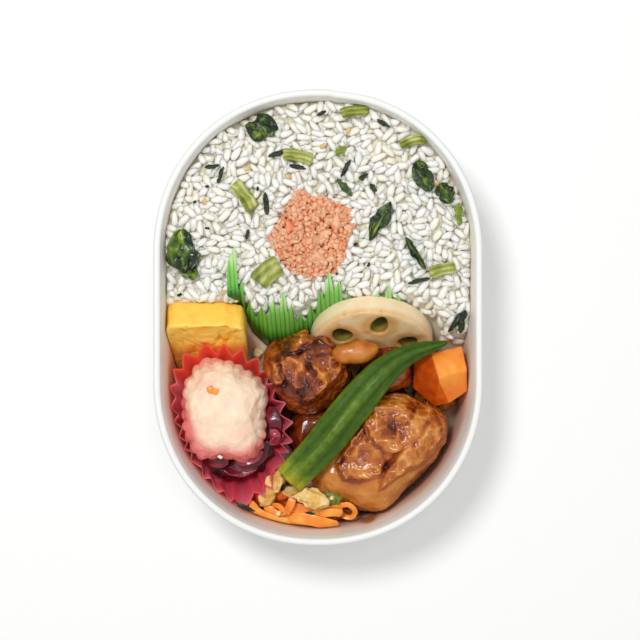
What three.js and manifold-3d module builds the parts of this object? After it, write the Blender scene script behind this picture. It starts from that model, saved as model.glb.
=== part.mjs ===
// A takeaway meal in an oval paper box: seasoned rice with flaked salmon at the far end,
// and a row of side dishes at the near end. Millimetres, +Z up.
// The origin is under the middle of the box, on the surface that it stands on;
// +Y points to the rice end and X runs across the box.
import * as THREE from 'three';
import { ConvexGeometry } from 'three/addons/geometries/ConvexGeometry.js';
import { mergeVertices } from 'three/addons/utils/BufferGeometryUtils.js';
import Module from 'manifold-3d';

const wasm = await Module();
wasm.setup();

// ---- Driving dimensions ----

const gap = 0.3; // clear space kept between two pieces that touch
const box = {
  length: 180,
  width: 130,
  height: 50,
  squareness: 2.1, // 2 would make the ends true half circles
  rimWidth: 3,
  rimHeight: 4.2,
  wall: 1,
  draft: 0.09, // run of the wall inwards for each millimetre down
  floor: 3, // height of the inside floor
  base: 1.4, // clear height under the floor, inside the foot
  foot: 2.6, // width of the foot ring
  arcSteps: 14,
};
// Height over the floor, and how far the rounded corner is set in there.
const cornerStops = [
  [0, 6.5],
  [0.6, 3.4],
  [2.4, 1.2],
  [6, 0],
];
// Section of the rolled rim: how far in from its outer edge each point is, and how far under the top.
const rimStops = [
  [0.5, 3.9],
  [0, 3],
  [0.1, 1.1],
  [0.7, 0.3],
  [1.5, 0],
  [2.5, 0.5],
];
const rice = { edge: 38.5, crown: 5, near: -26, middle: 40, columns: 13, rows: 9 };
const salmon = { at: [-1.5, 33.5], height: 5 };
// Slices that lean back on the rice; back is the middle of the back face's top edge.
const omelette = {
  width: 32,
  height: 42.5,
  thickness: 8,
  corner: 7,
  bevel: 1.1,
  lean: 62,
  back: [-43.6, 6.6, 39.4],
};
const lotus = { radius: 25, thickness: 9.2, ring: 16, holes: 6, core: 2, lean: 52, back: [21.6, 8.9, 42.2] };
const grass = { thickness: 0.4, rows: 2, valley: 7 };
const okra = { girth: 6.7, sides: 15, stations: 12, ridge: 0.09 };
const cup = { foot: 0.55, floor: 3.4, rim: 32, pleats: 25, depth: 4.2, paper: 0.5 };

// ---- Small helpers ----

const rad = THREE.MathUtils.degToRad;
const mix = THREE.MathUtils.lerp;
const clamp = THREE.MathUtils.clamp;

// Value at angle (radians) on a smooth closed curve through evenly spaced radii.
function radiusAt(radii, angle) {
  const n = radii.length;
  const u = (((angle / (2 * Math.PI)) % 1) + 1) * n;
  const i = Math.floor(u);
  const f = u - i;
  const [a, b, c, d] = [-1, 0, 1, 2].map((k) => radii[(i + k + n) % n]);
  const bend = 2 * b + (c - a) * f + (2 * a - 5 * b + 4 * c - d) * f * f + (3 * b - a - 3 * c + d) * f ** 3;
  return bend / 2;
}

// Value at x on a line through [x, value] stops.
function along(stops, x) {
  const last = stops.length - 1;
  if (x <= stops[0][0]) return stops[0][1];
  if (x >= stops[last][0]) return stops[last][1];
  const i = stops.findIndex((stop) => stop[0] > x) - 1;
  const [a, b] = [stops[i], stops[i + 1]];
  return mix(a[1], b[1], (x - a[0]) / (b[0] - a[0]));
}

// Smooth unevenness from -1 to 1, with lumps about one size across.
function lumps(x, y, z, size) {
  const k = 6.2 / size;
  return (
    (Math.sin(k * x + 1.3 * Math.sin(k * 0.7 * y + 0.4)) +
      Math.sin(k * y * 1.1 + 1.7 * Math.sin(k * 0.8 * z + 1.1) + 2) +
      Math.sin(k * z * 0.9 + 1.5 * Math.sin(k * 0.9 * x + 2.6) + 4)) /
    3
  );
}

// A rounded lower limit of a and b.
function softMin(a, b, width) {
  const h = clamp(0.5 + (b - a) / (2 * width), 0, 1);
  return mix(b, a, h) - width * h * (1 - h);
}

// ---- Meshes ----

function meshFrom(points, faces) {
  const g = new THREE.BufferGeometry();
  g.setAttribute('position', new THREE.Float32BufferAttribute(points.flatMap((p) => [p.x, p.y, p.z]), 3));
  g.setIndex(faces.flat());
  return g;
}

// Closed skin over a stack of loops with the same number of points; both ends are capped at their middle.
function skin(loops) {
  const n = loops[0].length;
  const points = loops.flat();
  const faces = [];
  for (let k = 0; k + 1 < loops.length; k++) {
    for (let i = 0; i < n; i++) {
      const j = (i + 1) % n;
      const [a, b, c, d] = [k * n + i, k * n + j, (k + 1) * n + j, (k + 1) * n + i];
      faces.push([a, b, c], [a, c, d]);
    }
  }
  const middle = (loop) => loop.reduce((sum, p) => sum.add(p), new THREE.Vector3()).divideScalar(n);
  const first = points.push(middle(loops[0])) - 1;
  const last = points.push(middle(loops.at(-1))) - 1;
  const top = (loops.length - 1) * n;
  for (let i = 0; i < n; i++) {
    const j = (i + 1) % n;
    faces.push([first, j, i], [last, top + i, top + j]);
  }
  return meshFrom(points, faces);
}

function merged(geometry) {
  const g = geometry.clone();
  for (const name of Object.keys(g.attributes)) if (name !== 'position') g.deleteAttribute(name);
  return mergeVertices(g, 1e-3);
}

function solidOf(geometry) {
  const g = merged(geometry);
  return new wasm.Manifold(
    new wasm.Mesh({
      numProp: 3,
      vertProperties: g.attributes.position.array,
      triVerts: new Uint32Array(g.index.array),
    }),
  );
}

function geometryOf(solid) {
  const mesh = solid.getMesh();
  const g = new THREE.BufferGeometry();
  g.setAttribute('position', new THREE.BufferAttribute(new Float32Array(mesh.vertProperties), 3));
  g.setIndex(new THREE.BufferAttribute(new Uint32Array(mesh.triVerts), 1));
  return g;
}

// The same shape grown outwards by a small distance: the room that it needs among its neighbours.
function roomOf(geometry, by = 0.45) {
  const g = merged(geometry);
  g.computeVertexNormals();
  const [p, n] = [g.attributes.position, g.attributes.normal];
  for (let i = 0; i < p.count; i++) {
    p.setXYZ(i, p.getX(i) + by * n.getX(i), p.getY(i) + by * n.getY(i), p.getZ(i) + by * n.getZ(i));
  }
  return solidOf(g);
}

// What is left of a geometry inside a space and outside the rooms of its neighbours: the largest body of it.
function trimmed(geometry, space, rooms) {
  let solid = solidOf(geometry).intersect(space);
  for (const room of rooms) solid = solid.subtract(room);
  const bodies = solid.decompose().sort((a, b) => b.volume() - a.volume());
  return geometryOf(bodies[0]);
}

// ---- Box ----

// One loop round the box at a height, set in from the outer edge of the rim.
function ovalLoop(inset, z) {
  const r = box.width / 2 - inset;
  const straight = (box.length - box.width) / 2;
  const power = 2 / box.squareness;
  const points = [];
  for (const end of [1, -1]) {
    for (let i = 0; i <= box.arcSteps; i++) {
      const a = (i / box.arcSteps) * Math.PI;
      const x = Math.sign(Math.cos(a)) * Math.abs(Math.cos(a)) ** power * r;
      points.push(new THREE.Vector3(end * x, end * (straight + Math.sin(a) ** power * r), z));
    }
  }
  return points;
}

// How far the inside of the wall is set in from the rim's outer edge, at a height.
function wallInset(z) {
  return box.rimWidth + (box.height - z) * box.draft + along(cornerStops, z - box.floor);
}

// Distance of a point outwards from the inside of the wall; negative when it is clear inside.
function pastWall(p) {
  const straight = (box.length - box.width) / 2;
  const [x, y] = [Math.abs(p.x), Math.max(0, Math.abs(p.y) - straight)];
  const r = (x ** box.squareness + y ** box.squareness) ** (1 / box.squareness);
  return r - (box.width / 2 - wallInset(p.z));
}

// Moves a point inwards until it keeps a margin to the wall.
function pressedIn(p, margin) {
  const over = pastWall(p) + margin;
  if (over <= 0) return p;
  const straight = (box.length - box.width) / 2;
  const centre = new THREE.Vector3(0, clamp(p.y, -straight, straight), p.z);
  const out = p.clone().sub(centre);
  return centre.add(out.setLength(out.length() - over));
}

function boxGeometry() {
  const { height, rimWidth, rimHeight, wall, floor, base, foot } = box;
  const neck = height - rimHeight;
  const outer = (z) => rimWidth - wall + (height - z) * box.draft;
  const profile = [
    [outer(0) + foot + 0.8, base],
    [outer(0) + foot, 0],
    [outer(0) + 0.4, 0],
    [outer(0.5), 0.5],
    [outer(neck), neck],
    ...rimStops.map(([inset, drop]) => [inset, height - drop]),
    [wallInset(neck + 1), neck + 1],
    ...cornerStops.map(([rise]) => [wallInset(floor + rise), floor + rise]).reverse(),
  ];
  return skin(profile.map(([inset, z]) => ovalLoop(inset, z)));
}

// The space inside the box that food may fill, up to well over the rim.
function cavityGeometry() {
  const levels = [gap, ...cornerStops.slice(1).map(([rise]) => rise)].map((rise) => box.floor + rise);
  levels.push(box.height, box.height + 20);
  return skin(levels.map((z) => ovalLoop(wallInset(Math.min(z, box.height)) + gap + 0.1, z)));
}

// ---- Rice, and what lies on it ----

// Where the rice's sloping near face is 20 mm up, and how steeply it climbs, across the box.
const footLine = [
  [-38, -4.2],
  [-30, -5.5],
  [-20, -12.2],
  [-12, -11.6],
  [-2, -7],
  [46, -7],
  [52, -12],
];
const climb = [
  [-36, 1.9],
  [-24, 1.28],
  [46, 1.28],
  [52, 1.9],
];
const footHeight = 20;

// The smooth top of the rice bed, which dips to the wall and slopes down under the divider.
function riceTop(x, y) {
  const across = x / (box.width / 2);
  const down = (y - rice.middle) / (box.length / 2 - rice.middle + 6);
  const dome = rice.edge + rice.crown * Math.max(0, 1 - across ** 4 - Math.abs(down) ** 3 * 0.9);
  const slope = footHeight + (y - along(footLine, x)) * along(climb, x);
  return softMin(dome, slope, 2.5);
}

function riceGeometry() {
  const { columns, rows } = rice;
  const low = box.floor - 1;
  const top = [];
  for (let j = 0; j <= rows; j++) {
    for (let i = 0; i <= columns; i++) {
      const x = mix(-box.width / 2, box.width / 2, i / columns);
      const y = mix(rice.near, box.length / 2, (j / rows) ** 1.15);
      const hollow = 0.35 + 0.25 * lumps(x, y, 0, 13);
      top.push(new THREE.Vector3(x, y, Math.max(low + 0.5, riceTop(x, y) - hollow)));
    }
  }
  const across = columns + 1;
  const faces = [];
  for (let j = 0; j < rows; j++) {
    for (let i = 0; i < columns; i++) {
      const a = j * across + i;
      faces.push([a, a + 1, a + across + 1], [a, a + across + 1, a + across]);
    }
  }
  const edge = [];
  for (let i = 0; i < columns; i++) edge.push(i);
  for (let j = 0; j < rows; j++) edge.push(j * across + columns);
  for (let i = columns; i > 0; i--) edge.push(rows * across + i);
  for (let j = rows; j > 0; j--) edge.push(j * across);
  const points = [...top];
  const under = edge.map((i) => points.push(new THREE.Vector3(top[i].x, top[i].y, low)) - 1);
  const centre = points.push(new THREE.Vector3(0, box.length / 4, low)) - 1;
  edge.forEach((a, i) => {
    const k = (i + 1) % edge.length;
    faces.push([a, under[k], edge[k]], [a, under[i], under[k]], [centre, under[k], under[i]]);
  });
  return meshFrom(points, faces);
}

// A heap or flat piece that lies on the rice: its underside follows the rice and its edge is thin.
// plan(angle) is the distance to its edge, and rise(share, x, y) its height at a share of that.
function mound({ at, plan, rise, rings, sectors }) {
  const points = [];
  const place = (share, angle, upper) => {
    const x = at[0] + Math.cos(angle) * plan(angle) * share;
    const y = at[1] + Math.sin(angle) * plan(angle) * share;
    const lift = upper ? rise(share, x, y) : 0;
    return new THREE.Vector3(x, y, riceTop(x, y) + gap + lift);
  };
  const loops = [];
  for (let k = 1; k <= rings; k++) loops.push([k / rings, false]);
  for (let k = rings - 1; k >= 1; k--) loops.push([k / rings, true]);
  for (const [share, upper] of loops) {
    const loop = [];
    for (let i = 0; i < sectors; i++) loop.push(place(share, (i / sectors) * 2 * Math.PI, upper));
    points.push(loop);
  }
  const g = skin(points);
  const p = g.attributes.position; // the two caps' middles are put on the same surfaces
  p.setZ(p.count - 2, place(0, 0, false).z);
  p.setZ(p.count - 1, place(0, 0, true).z);
  return g;
}

function salmonGeometry() {
  const radii = [16.5, 15.5, 15, 17.5, 16.5, 15, 16.5, 15.5, 16.5, 17, 16.5, 15];
  const rise = (share, x, y) =>
    (share === 1 ? 0 : salmon.height * (1 - share ** 3) + 0.7 * lumps(x, y, 0, 8) * (1 - share ** 4));
  return mound({ at: salmon.at, plan: (a) => radiusAt(radii, a), rise, rings: 3, sectors: 20 });
}

// Chopped greens as large as berries: place, half length, half width, turn and thickness.
const greens = [
  { at: [-53.6, 23.5], half: [10.5, 5.6], turn: 92, thick: 2.6, kind: 'leaf' },
  { at: [-22.3, 75], half: [6.4, 4.6], turn: 60, thick: 2.2, kind: 'leaf' },
  { at: [-8, 63.5], half: [5.6, 3.2], turn: -12, thick: 2.2, kind: 'stem' },
  { at: [-29.5, 48], half: [6.6, 3.3], turn: -52, thick: 2.4, kind: 'stem' },
  { at: [-19.6, 17.5], half: [6.6, 4.8], turn: 40, thick: 2.6, kind: 'stem' },
  { at: [14.5, 81.5], half: [6, 2.6], turn: 8, thick: 1.8, kind: 'stem' },
  { at: [41.8, 56], half: [6.8, 3.4], turn: -62, thick: 1.8, kind: 'leaf' },
  { at: [50.6, 49.3], half: [4.6, 3.6], turn: -60, thick: 1.8, kind: 'leaf' },
  { at: [24.6, 38], half: [8.8, 2.4], turn: 62, thick: 1.6, kind: 'leaf' },
  { at: [38.6, 25.4], half: [8, 1.7], turn: -58, thick: 1.4, kind: 'leaf' },
  { at: [49.6, 18.6], half: [5.2, 2.8], turn: 14, thick: 2, kind: 'stem' },
  { at: [38, 69.6], half: [4.8, 2.1], turn: 14, thick: 1.6, kind: 'stem' },
];

function greenGeometry({ at, half, turn, thick }, seed) {
  const plan = (angle) => {
    const a = angle - rad(turn);
    const [long, short] = half;
    const r = (long * short) / Math.hypot(short * Math.cos(a), long * Math.sin(a));
    return r * (1 + 0.1 * Math.sin(3 * a + seed));
  };
  const rise = (share) => (share === 1 ? 0 : thick * Math.sqrt(1 - share ** 4));
  return mound({ at, plan, rise, rings: 2, sectors: 10 });
}

// ---- Leaning slices ----

// Turns a slice drawn flat, with its bottom edge's middle at the origin, so that it leans back on the rice.
function leaned(geometry, height, { lean, back }) {
  geometry.translate(0, -height, 0);
  geometry.rotateX(rad(lean));
  geometry.translate(...back);
  return geometry;
}

function omeletteGeometry() {
  const { width, height, thickness, corner, bevel } = omelette;
  const [w, r] = [width / 2 - bevel, corner];
  const [low, high] = [bevel, height - bevel];
  const shape = new THREE.Shape();
  shape.moveTo(-w + r, low);
  shape.lineTo(w - r + 1.5, low);
  shape.absarc(w - r + 1.5, low + r, r, -Math.PI / 2, 0);
  shape.absarc(w - r - 0.6, high - r, r, 0, Math.PI / 2);
  shape.quadraticCurveTo(-1, high + 2.6, -w + r + 1, high - 1.2);
  shape.absarc(-w + r, high - r - 1.2, r, Math.PI / 2, Math.PI);
  shape.absarc(-w + r, low + r, r, Math.PI, Math.PI * 1.5);
  const g = new THREE.ExtrudeGeometry(shape, {
    depth: thickness,
    curveSegments: 3,
    bevelThickness: bevel,
    bevelSize: bevel,
    bevelSegments: 1,
  });
  g.translate(0, 0, bevel);
  return leaned(g, height, omelette);
}

// A slice of root, or without its holes the room that it takes.
function lotusGeometry(pierced = true) {
  const { radius, thickness, ring, holes, core } = lotus;
  const shape = new THREE.Shape();
  shape.absarc(0, radius, radius, 0, Math.PI * 2);
  const bore = (x, y, rx, ry, turn) => {
    const hole = new THREE.Path();
    hole.absellipse(x, y + radius, rx, ry, 0, Math.PI * 2, true, turn);
    shape.holes.push(hole);
  };
  for (let i = 0; pierced && i < holes; i++) {
    const a = rad(80) + (i / holes) * 2 * Math.PI;
    bore(Math.cos(a) * ring, Math.sin(a) * ring, 4.6, 3.8 + 0.5 * Math.cos(2 * i), a);
  }
  if (pierced) bore(0, 0, core, core * 0.8, 0);
  const g = new THREE.ExtrudeGeometry(shape, { depth: thickness, curveSegments: 7, bevelEnabled: false });
  return leaned(g, 2 * radius, lotus);
}

// ---- Grass divider ----

// Tip of each tooth in plan, from left to right.
const toothTips = [
  [-33, 28.5],
  [-30, 15],
  [-27.3, 7],
  [-22.5, 4.5],
  [-18, 7],
  [-13.6, 11.5],
  [-10.5, 6],
  [-7.2, 2],
  [-3, 5.5],
  [0.7, 11.5],
  [4.2, 19],
  [8.5, 15],
  [12.3, 9.5],
  [16, 7],
  [19.8, 7.5],
  [23.7, 10.5],
  [28.2, 13.5],
  [31.8, 9.5],
];
// Plan line of the sheet's lower edge.
const sheetLine = [
  [-37, 4],
  [-33, 3.5],
  [-27, -7],
  [-20, -12.6],
  [-12, -13],
  [-4, -10],
  [4, -4],
  [13, -3.5],
  [24, -8],
  [40, -8],
];

// The sheet, or with grow the room that it needs, for cutting what is beside it.
function grassGeometry(grow = 0) {
  const { thickness, rows, valley } = grass;
  const columns = [];
  const addColumn = (x, top, slack) => {
    const y = along(sheetLine, x);
    const cuts = [];
    for (let k = 0; k <= rows; k++) cuts.push(mix(y, top, k / rows));
    if (grow) cuts.unshift(y - grow);
    if (grow) cuts.push(top + grow * slack);
    columns.push(cuts.map((v) => [x, v]));
  };
  const addValley = (x) => addColumn(x, along(sheetLine, x) + valley, 6);
  addValley(toothTips[0][0] - 3);
  toothTips.forEach(([x, y], i) => {
    addColumn(x, y, 2);
    const next = toothTips[i + 1] ?? [x + 4, y];
    addValley(mix(x, next[0], 0.5));
  });
  const face = (lift) =>
    columns.flat().map(([x, v]) => new THREE.Vector3(x, v, riceTop(x, v) + gap + 0.1 + lift));
  const points = [...face(-grow), ...face(thickness + grow)];
  const high = points.length / 2;
  const tall = columns[0].length;
  const last = columns.length - 1;
  const faces = [];
  const quad = (a, b, c, d) => faces.push([a, b, c], [a, c, d]);
  for (let i = 0; i < last; i++) {
    for (let k = 0; k < tall - 1; k++) {
      const a = i * tall + k;
      quad(a, a + 1, a + 1 + tall, a + tall);
      quad(high + a, high + a + tall, high + a + 1 + tall, high + a + 1);
    }
    const [foot, tip] = [i * tall, (i + 1) * tall - 1];
    quad(foot, foot + tall, high + foot + tall, high + foot);
    quad(tip, high + tip, high + tip + tall, tip + tall);
  }
  for (let k = 0; k < tall - 1; k++) {
    quad(k, high + k, high + k + 1, k + 1);
    const b = last * tall + k;
    quad(b, b + 1, high + b + 1, high + b);
  }
  return meshFrom(points, faces);
}

// ---- Rounded pieces ----

// A rounded lump: plan radii round its centre, from a flat-ish underside to a domed top, made uneven.
function lump({ at, radii, low, high, uneven, size, detail, turn = 0, full = 0.62 }) {
  const g = merged(new THREE.IcosahedronGeometry(1, detail));
  const p = g.attributes.position;
  const v = new THREE.Vector3();
  const middle = mix(low, high, 0.42);
  for (let i = 0; i < p.count; i++) {
    v.fromBufferAttribute(p, i).normalize();
    const angle = Math.atan2(v.y, v.x);
    const flat = Math.hypot(v.x, v.y);
    const reach = radiusAt(radii, angle - rad(turn)) * flat ** full;
    const rise = (v.z < 0 ? middle - low : high - middle) * Math.sign(v.z) * Math.abs(v.z) ** 0.8;
    const out = new THREE.Vector3(Math.cos(angle) * reach, Math.sin(angle) * reach, rise);
    const bump = uneven * lumps(at[0] + out.x, at[1] + out.y, out.z, size);
    out.addScaledVector(out.clone().normalize(), bump);
    out.add(new THREE.Vector3(at[0], at[1], middle));
    out.z = Math.max(low, out.z);
    const held = pressedIn(out, gap + 0.15);
    p.setXYZ(i, held.x, held.y, held.z);
  }
  return g;
}

const onFloor = box.floor + gap;

const lumpsOfFood = {
  chicken_right: {
    at: [24.4, -54],
    radii: [25.5, 30, 25.5, 23.5, 19, 20, 25, 29.5, 26, 25, 20, 20.5],
    low: onFloor,
    high: 41,
    uneven: 1.7,
    size: 17,
    detail: 3,
  },
  chicken_left: {
    at: [-4, -22.4],
    radii: [17.5, 17, 17.6, 17.8, 17.5, 19, 17.5, 15.5, 16, 17.5, 16.5, 16.5],
    low: onFloor,
    high: 42.5,
    uneven: 1.5,
    size: 14,
    detail: 3,
  },
  chicken_back: {
    at: [29, -20.5],
    radii: [11, 11, 12, 11, 11, 11, 11, 11, 11, 11, 11, 11],
    low: onFloor,
    high: 35,
    uneven: 1.2,
    size: 11,
    detail: 2,
  },
  chicken_under: {
    at: [-1, -46],
    radii: [12, 12, 13, 13, 12, 11.5, 11, 11, 13, 16, 14, 12],
    low: onFloor,
    high: 29,
    uneven: 1,
    size: 12,
    detail: 2,
  },
  mushroom_glazed: {
    at: [14.4, -13.8],
    radii: [10.4, 6.2, 4.7, 4.5, 4.8, 7, 9.6, 6.6, 4.8, 4.6, 4.8, 7],
    low: 33.4,
    high: 42.6,
    turn: 8,
    uneven: 0.3,
    size: 8,
    detail: 2,
    full: 0.8,
  },
  mushroom_slice: {
    at: [48.6, -30.4],
    radii: [9.6, 9, 9.5, 9, 8.6, 8.6, 9, 9.4, 9.6, 9.6, 9.6, 10],
    low: onFloor,
    high: 17.6,
    uneven: 0.5,
    size: 9,
    detail: 2,
  },
  tofu_strip_left: {
    at: [-18.9, -69.2],
    radii: [8, 5.6, 4, 3.6, 4, 5.6, 8, 5.6, 4, 3.6, 4, 5.6],
    turn: 68,
    low: 20.5,
    high: 30.5,
    uneven: 0.4,
    size: 6,
    detail: 1,
  },
  tofu_strip_right: {
    at: [-4.6, -71.4],
    radii: [9, 4.8, 3.2, 3, 3.2, 5.4, 9.4, 5.2, 3.4, 3.2, 3.2, 5],
    turn: -24,
    low: 34.6,
    high: 39.6,
    uneven: 0.4,
    size: 6,
    detail: 1,
  },
  green_stem: {
    at: [5.6, -72],
    radii: [4.2, 4.4, 4, 3.2, 3.2, 4, 4.2, 4.2, 3.8, 3.2, 3.4, 4],
    turn: -30,
    low: 27.5,
    high: 33.5,
    uneven: 0.2,
    size: 6,
    detail: 1,
  },
  carrot_strips: {
    at: [-8, -76],
    radii: [23, 14.5, 9, 7.8, 9, 12.5, 21, 15, 10, 9.6, 10.5, 16.5],
    low: onFloor,
    high: 36.4,
    uneven: 0.9,
    size: 8,
    detail: 2,
  },
};

// ---- Okra ----

function okraGeometry() {
  const line = new THREE.CatmullRomCurve3(
    [
      [-11.6, -64.6, 39.2],
      [1, -51.5, 40.6],
      [13, -36.4, 41.2],
      [25, -22.6, 41.2],
      [36, -14.8, 40.8],
      [51.4, -9.8, 40],
    ].map((p) => new THREE.Vector3(...p)),
  );
  const girth = [
    [0, 0.84],
    [0.08, 0.92],
    [0.3, 1.06],
    [0.55, 1],
    [0.72, 0.72],
    [0.86, 0.46],
    [0.95, 0.3],
    [1, 0.1],
  ];
  const up = new THREE.Vector3(0, 0, 1);
  const loops = [];
  for (let k = 0; k <= okra.stations; k++) {
    const t = k / okra.stations;
    const centre = line.getPointAt(t);
    const ahead = line.getTangentAt(t);
    const side = new THREE.Vector3().crossVectors(up, ahead).normalize();
    const top = new THREE.Vector3().crossVectors(ahead, side);
    const r = okra.girth * along(girth, t);
    const loop = [];
    for (let i = 0; i < okra.sides; i++) {
      const a = (i / okra.sides) * 2 * Math.PI;
      const reach = r * (1 + okra.ridge * Math.cos(5 * (a - 0.35)));
      loop.push(
        centre
          .clone()
          .addScaledVector(side, Math.cos(a) * reach)
          .addScaledVector(top, Math.sin(a) * reach),
      );
    }
    loops.push(loop);
  }
  return skin(loops);
}

// ---- Carrot chunk: a roll-cut piece, all flat cuts ----

function carrotGeometry() {
  const corners = [
    [45.2, -14.2, 37],
    [57.8, -11.4, 35.4],
    [59.6, -20.8, 38.6],
    [48, -24.2, 43.4],
    [60, -29.6, 33.4],
    [53, -34.4, 33.6],
    [47.2, -36, 27.4],
    [38.4, -28.6, 27.6],
    [38.6, -18.2, 31.4],
    [56.4, -14, 20],
    [58.2, -28, 19],
    [47.4, -33.6, 18.2],
    [41, -27, 18],
    [43, -17, 19],
  ];
  return new ConvexGeometry(corners.map((c) => new THREE.Vector3(...c)));
}

// ---- Pleated cup with salad ----

const cupCentre = [-36.4, -43.6];
const cupRadii = [26.8, 25.4, 29.6, 33, 34.6, 28, 24, 23, 25.6, 34, 32.4, 28];

// One loop round the cup: share is 0 at its foot and 1 at its rim; inset moves it inwards.
function cupLoop(share, inset, pleated = true) {
  const count = cup.pleats * (pleated ? 2 : 1);
  const z = mix(cup.floor, cup.rim, share) + share * 1.2 * Math.sin(share * 3);
  const loop = [];
  for (let i = 0; i < count; i++) {
    const angle = (i / count) * 2 * Math.PI;
    const fold = pleated && i % 2 ? cup.depth * mix(0.35, 1, share) : 0;
    const r = radiusAt(cupRadii, angle) * mix(cup.foot, 1, share ** 0.9) - fold - inset;
    const p = new THREE.Vector3(cupCentre[0] + Math.cos(angle) * r, cupCentre[1] + Math.sin(angle) * r, z);
    loop.push(pressedIn(p, gap + 0.15 + inset + (pleated ? fold * 0.45 : 0)));
  }
  return loop;
}

function cupGeometry() {
  const shares = [0, 0.5, 1];
  const outside = shares.map((s) => cupLoop(s, 0));
  const inside = shares
    .slice()
    .reverse()
    .map((s) => cupLoop(s, cup.paper));
  inside.at(-1).forEach((p) => (p.z += cup.paper));
  return skin([...outside, ...inside]);
}

// The cup as if filled: its outside, for cutting what stands beside it.
function cupEnvelope() {
  return skin([0, 0.5, 1, 1.25].map((s) => cupLoop(s, 0, false)));
}

// The room inside the pleats, up to well over the rim.
function cupRoom() {
  const inset = cup.depth + cup.paper + gap;
  const levels = [0, 0.5, 1].map((s) => cupLoop(s, inset, false));
  levels[0].forEach((p) => (p.z += cup.paper + gap));
  const above = levels.at(-1).map((p) => new THREE.Vector3(p.x, p.y, box.height + 10));
  return skin([...levels, above]);
}

const salad = {
  at: [-37.3, -38],
  radii: [15.8, 19.8, 19.2, 20.2, 21.6, 19, 17, 18.4, 21.4, 18.4, 22, 18.6],
  low: cup.floor + 1,
  high: 46.4,
  uneven: 0.8,
  size: 9,
  detail: 3,
  full: 0.42,
};
const pickle = {
  at: [-33, -49],
  radii: [18, 18, 16, 14, 14, 16, 17, 18, 18, 18, 19, 19],
  low: cup.floor + 1,
  high: 29,
  uneven: 1,
  size: 7,
  detail: 2,
  full: 0.5,
};

// ---- Colours ----

const finish = (color, roughness) => new THREE.MeshStandardMaterial({ color, roughness, metalness: 0 });
const looks = {
  paper: finish(0xf3f3f0, 0.6),
  rice: finish(0xeeece0, 0.45),
  salmon: finish(0xe08a66, 0.6),
  grass: finish(0x3f9a3a, 0.4),
  egg: finish(0xf2b43a, 0.5),
  lotus: finish(0xe9d3b0, 0.45),
  chicken: finish(0x9a5320, 0.25),
  mushroom: finish(0xa9672c, 0.3),
  okra: finish(0x4e7f27, 0.4),
  carrot: finish(0xea7a2a, 0.35),
  cup: finish(0xd92a4b, 0.35),
  salad: finish(0xf3e2cc, 0.55),
  pickle: finish(0x6b2238, 0.3),
  tofu: finish(0xe0bd7c, 0.6),
  leaf: finish(0x33511d, 0.4),
  stem: finish(0x8c9a35, 0.4),
};

const lookOf = {
  chicken_right: looks.chicken,
  chicken_left: looks.chicken,
  chicken_back: looks.chicken,
  chicken_under: looks.chicken,
  mushroom_glazed: looks.mushroom,
  mushroom_slice: looks.mushroom,
  tofu_strip_left: looks.tofu,
  tofu_strip_right: looks.tofu,
  green_stem: looks.stem,
  carrot_strips: looks.carrot,
};

// ---- Assembly: firm pieces first, and each softer piece gives way to them ----

const shapes = {
  okra: okraGeometry(),
  carrot_chunk: carrotGeometry(),
  lotus_root: lotusGeometry(),
  rolled_omelette: omeletteGeometry(),
  grass_divider: grassGeometry(),
  potato_salad: lump(salad),
  purple_pickle: lump(pickle),
  rice: riceGeometry(),
  salmon_flakes: salmonGeometry(),
};
for (const [name, shape] of Object.entries(lumpsOfFood)) shapes[name] = lump(shape);

const cavity = solidOf(cavityGeometry());
const insideCup = solidOf(cupRoom());
const rooms = {
  cup: roomOf(cupEnvelope()),
  grass_divider: solidOf(grassGeometry(gap)),
  lotus_root: roomOf(lotusGeometry(false)),
};
for (const [name, geometry] of Object.entries(shapes)) rooms[name] ??= roomOf(geometry);

const meal = new THREE.Group();

function add(name, geometry, material) {
  const mesh = new THREE.Mesh(geometry, material);
  mesh.name = name;
  meal.add(mesh);
}

// Adds a piece, cut to its space and to the rooms of the named neighbours.
function addFood(name, material, neighbours = [], space = cavity) {
  const cutters = neighbours.map((other) => rooms[other]);
  add(name, trimmed(shapes[name], space, cutters), material);
}

add('box', boxGeometry(), looks.paper);
add('pleated_cup', cupGeometry(), looks.cup);
addFood('okra', looks.okra);
addFood('carrot_chunk', looks.carrot, ['okra']);
addFood('lotus_root', looks.lotus, ['okra', 'carrot_chunk']);
addFood('rolled_omelette', looks.egg, ['cup']);
addFood('grass_divider', looks.grass, ['lotus_root', 'rolled_omelette']);
addFood('potato_salad', looks.salad, [], insideCup);
addFood('purple_pickle', looks.pickle, ['potato_salad'], insideCup);

// Each of these gives way to the firm pieces and to every name before it.
const firm = ['okra', 'carrot_chunk', 'lotus_root', 'rolled_omelette', 'grass_divider', 'cup'];
const softOrder = [
  'mushroom_glazed',
  'mushroom_slice',
  'chicken_right',
  'chicken_left',
  'chicken_back',
  'chicken_under',
  'tofu_strip_right',
  'tofu_strip_left',
  'green_stem',
  'carrot_strips',
];
softOrder.forEach((name, i) => addFood(name, lookOf[name], [...firm, ...softOrder.slice(0, i)]));

const besideRice = [
  'lotus_root',
  'rolled_omelette',
  'grass_divider',
  'carrot_chunk',
  'mushroom_slice',
  'chicken_left',
  'chicken_back',
];
addFood('rice', looks.rice, besideRice);
addFood('salmon_flakes', looks.salmon, ['grass_divider']);
greens.forEach((green, i) => {
  const name = `greens_${i + 1}`;
  shapes[name] = greenGeometry(green, i);
  addFood(name, looks[green.kind], ['lotus_root', 'salmon_flakes']);
});

export default meal;
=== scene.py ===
import itertools
import math

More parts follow.
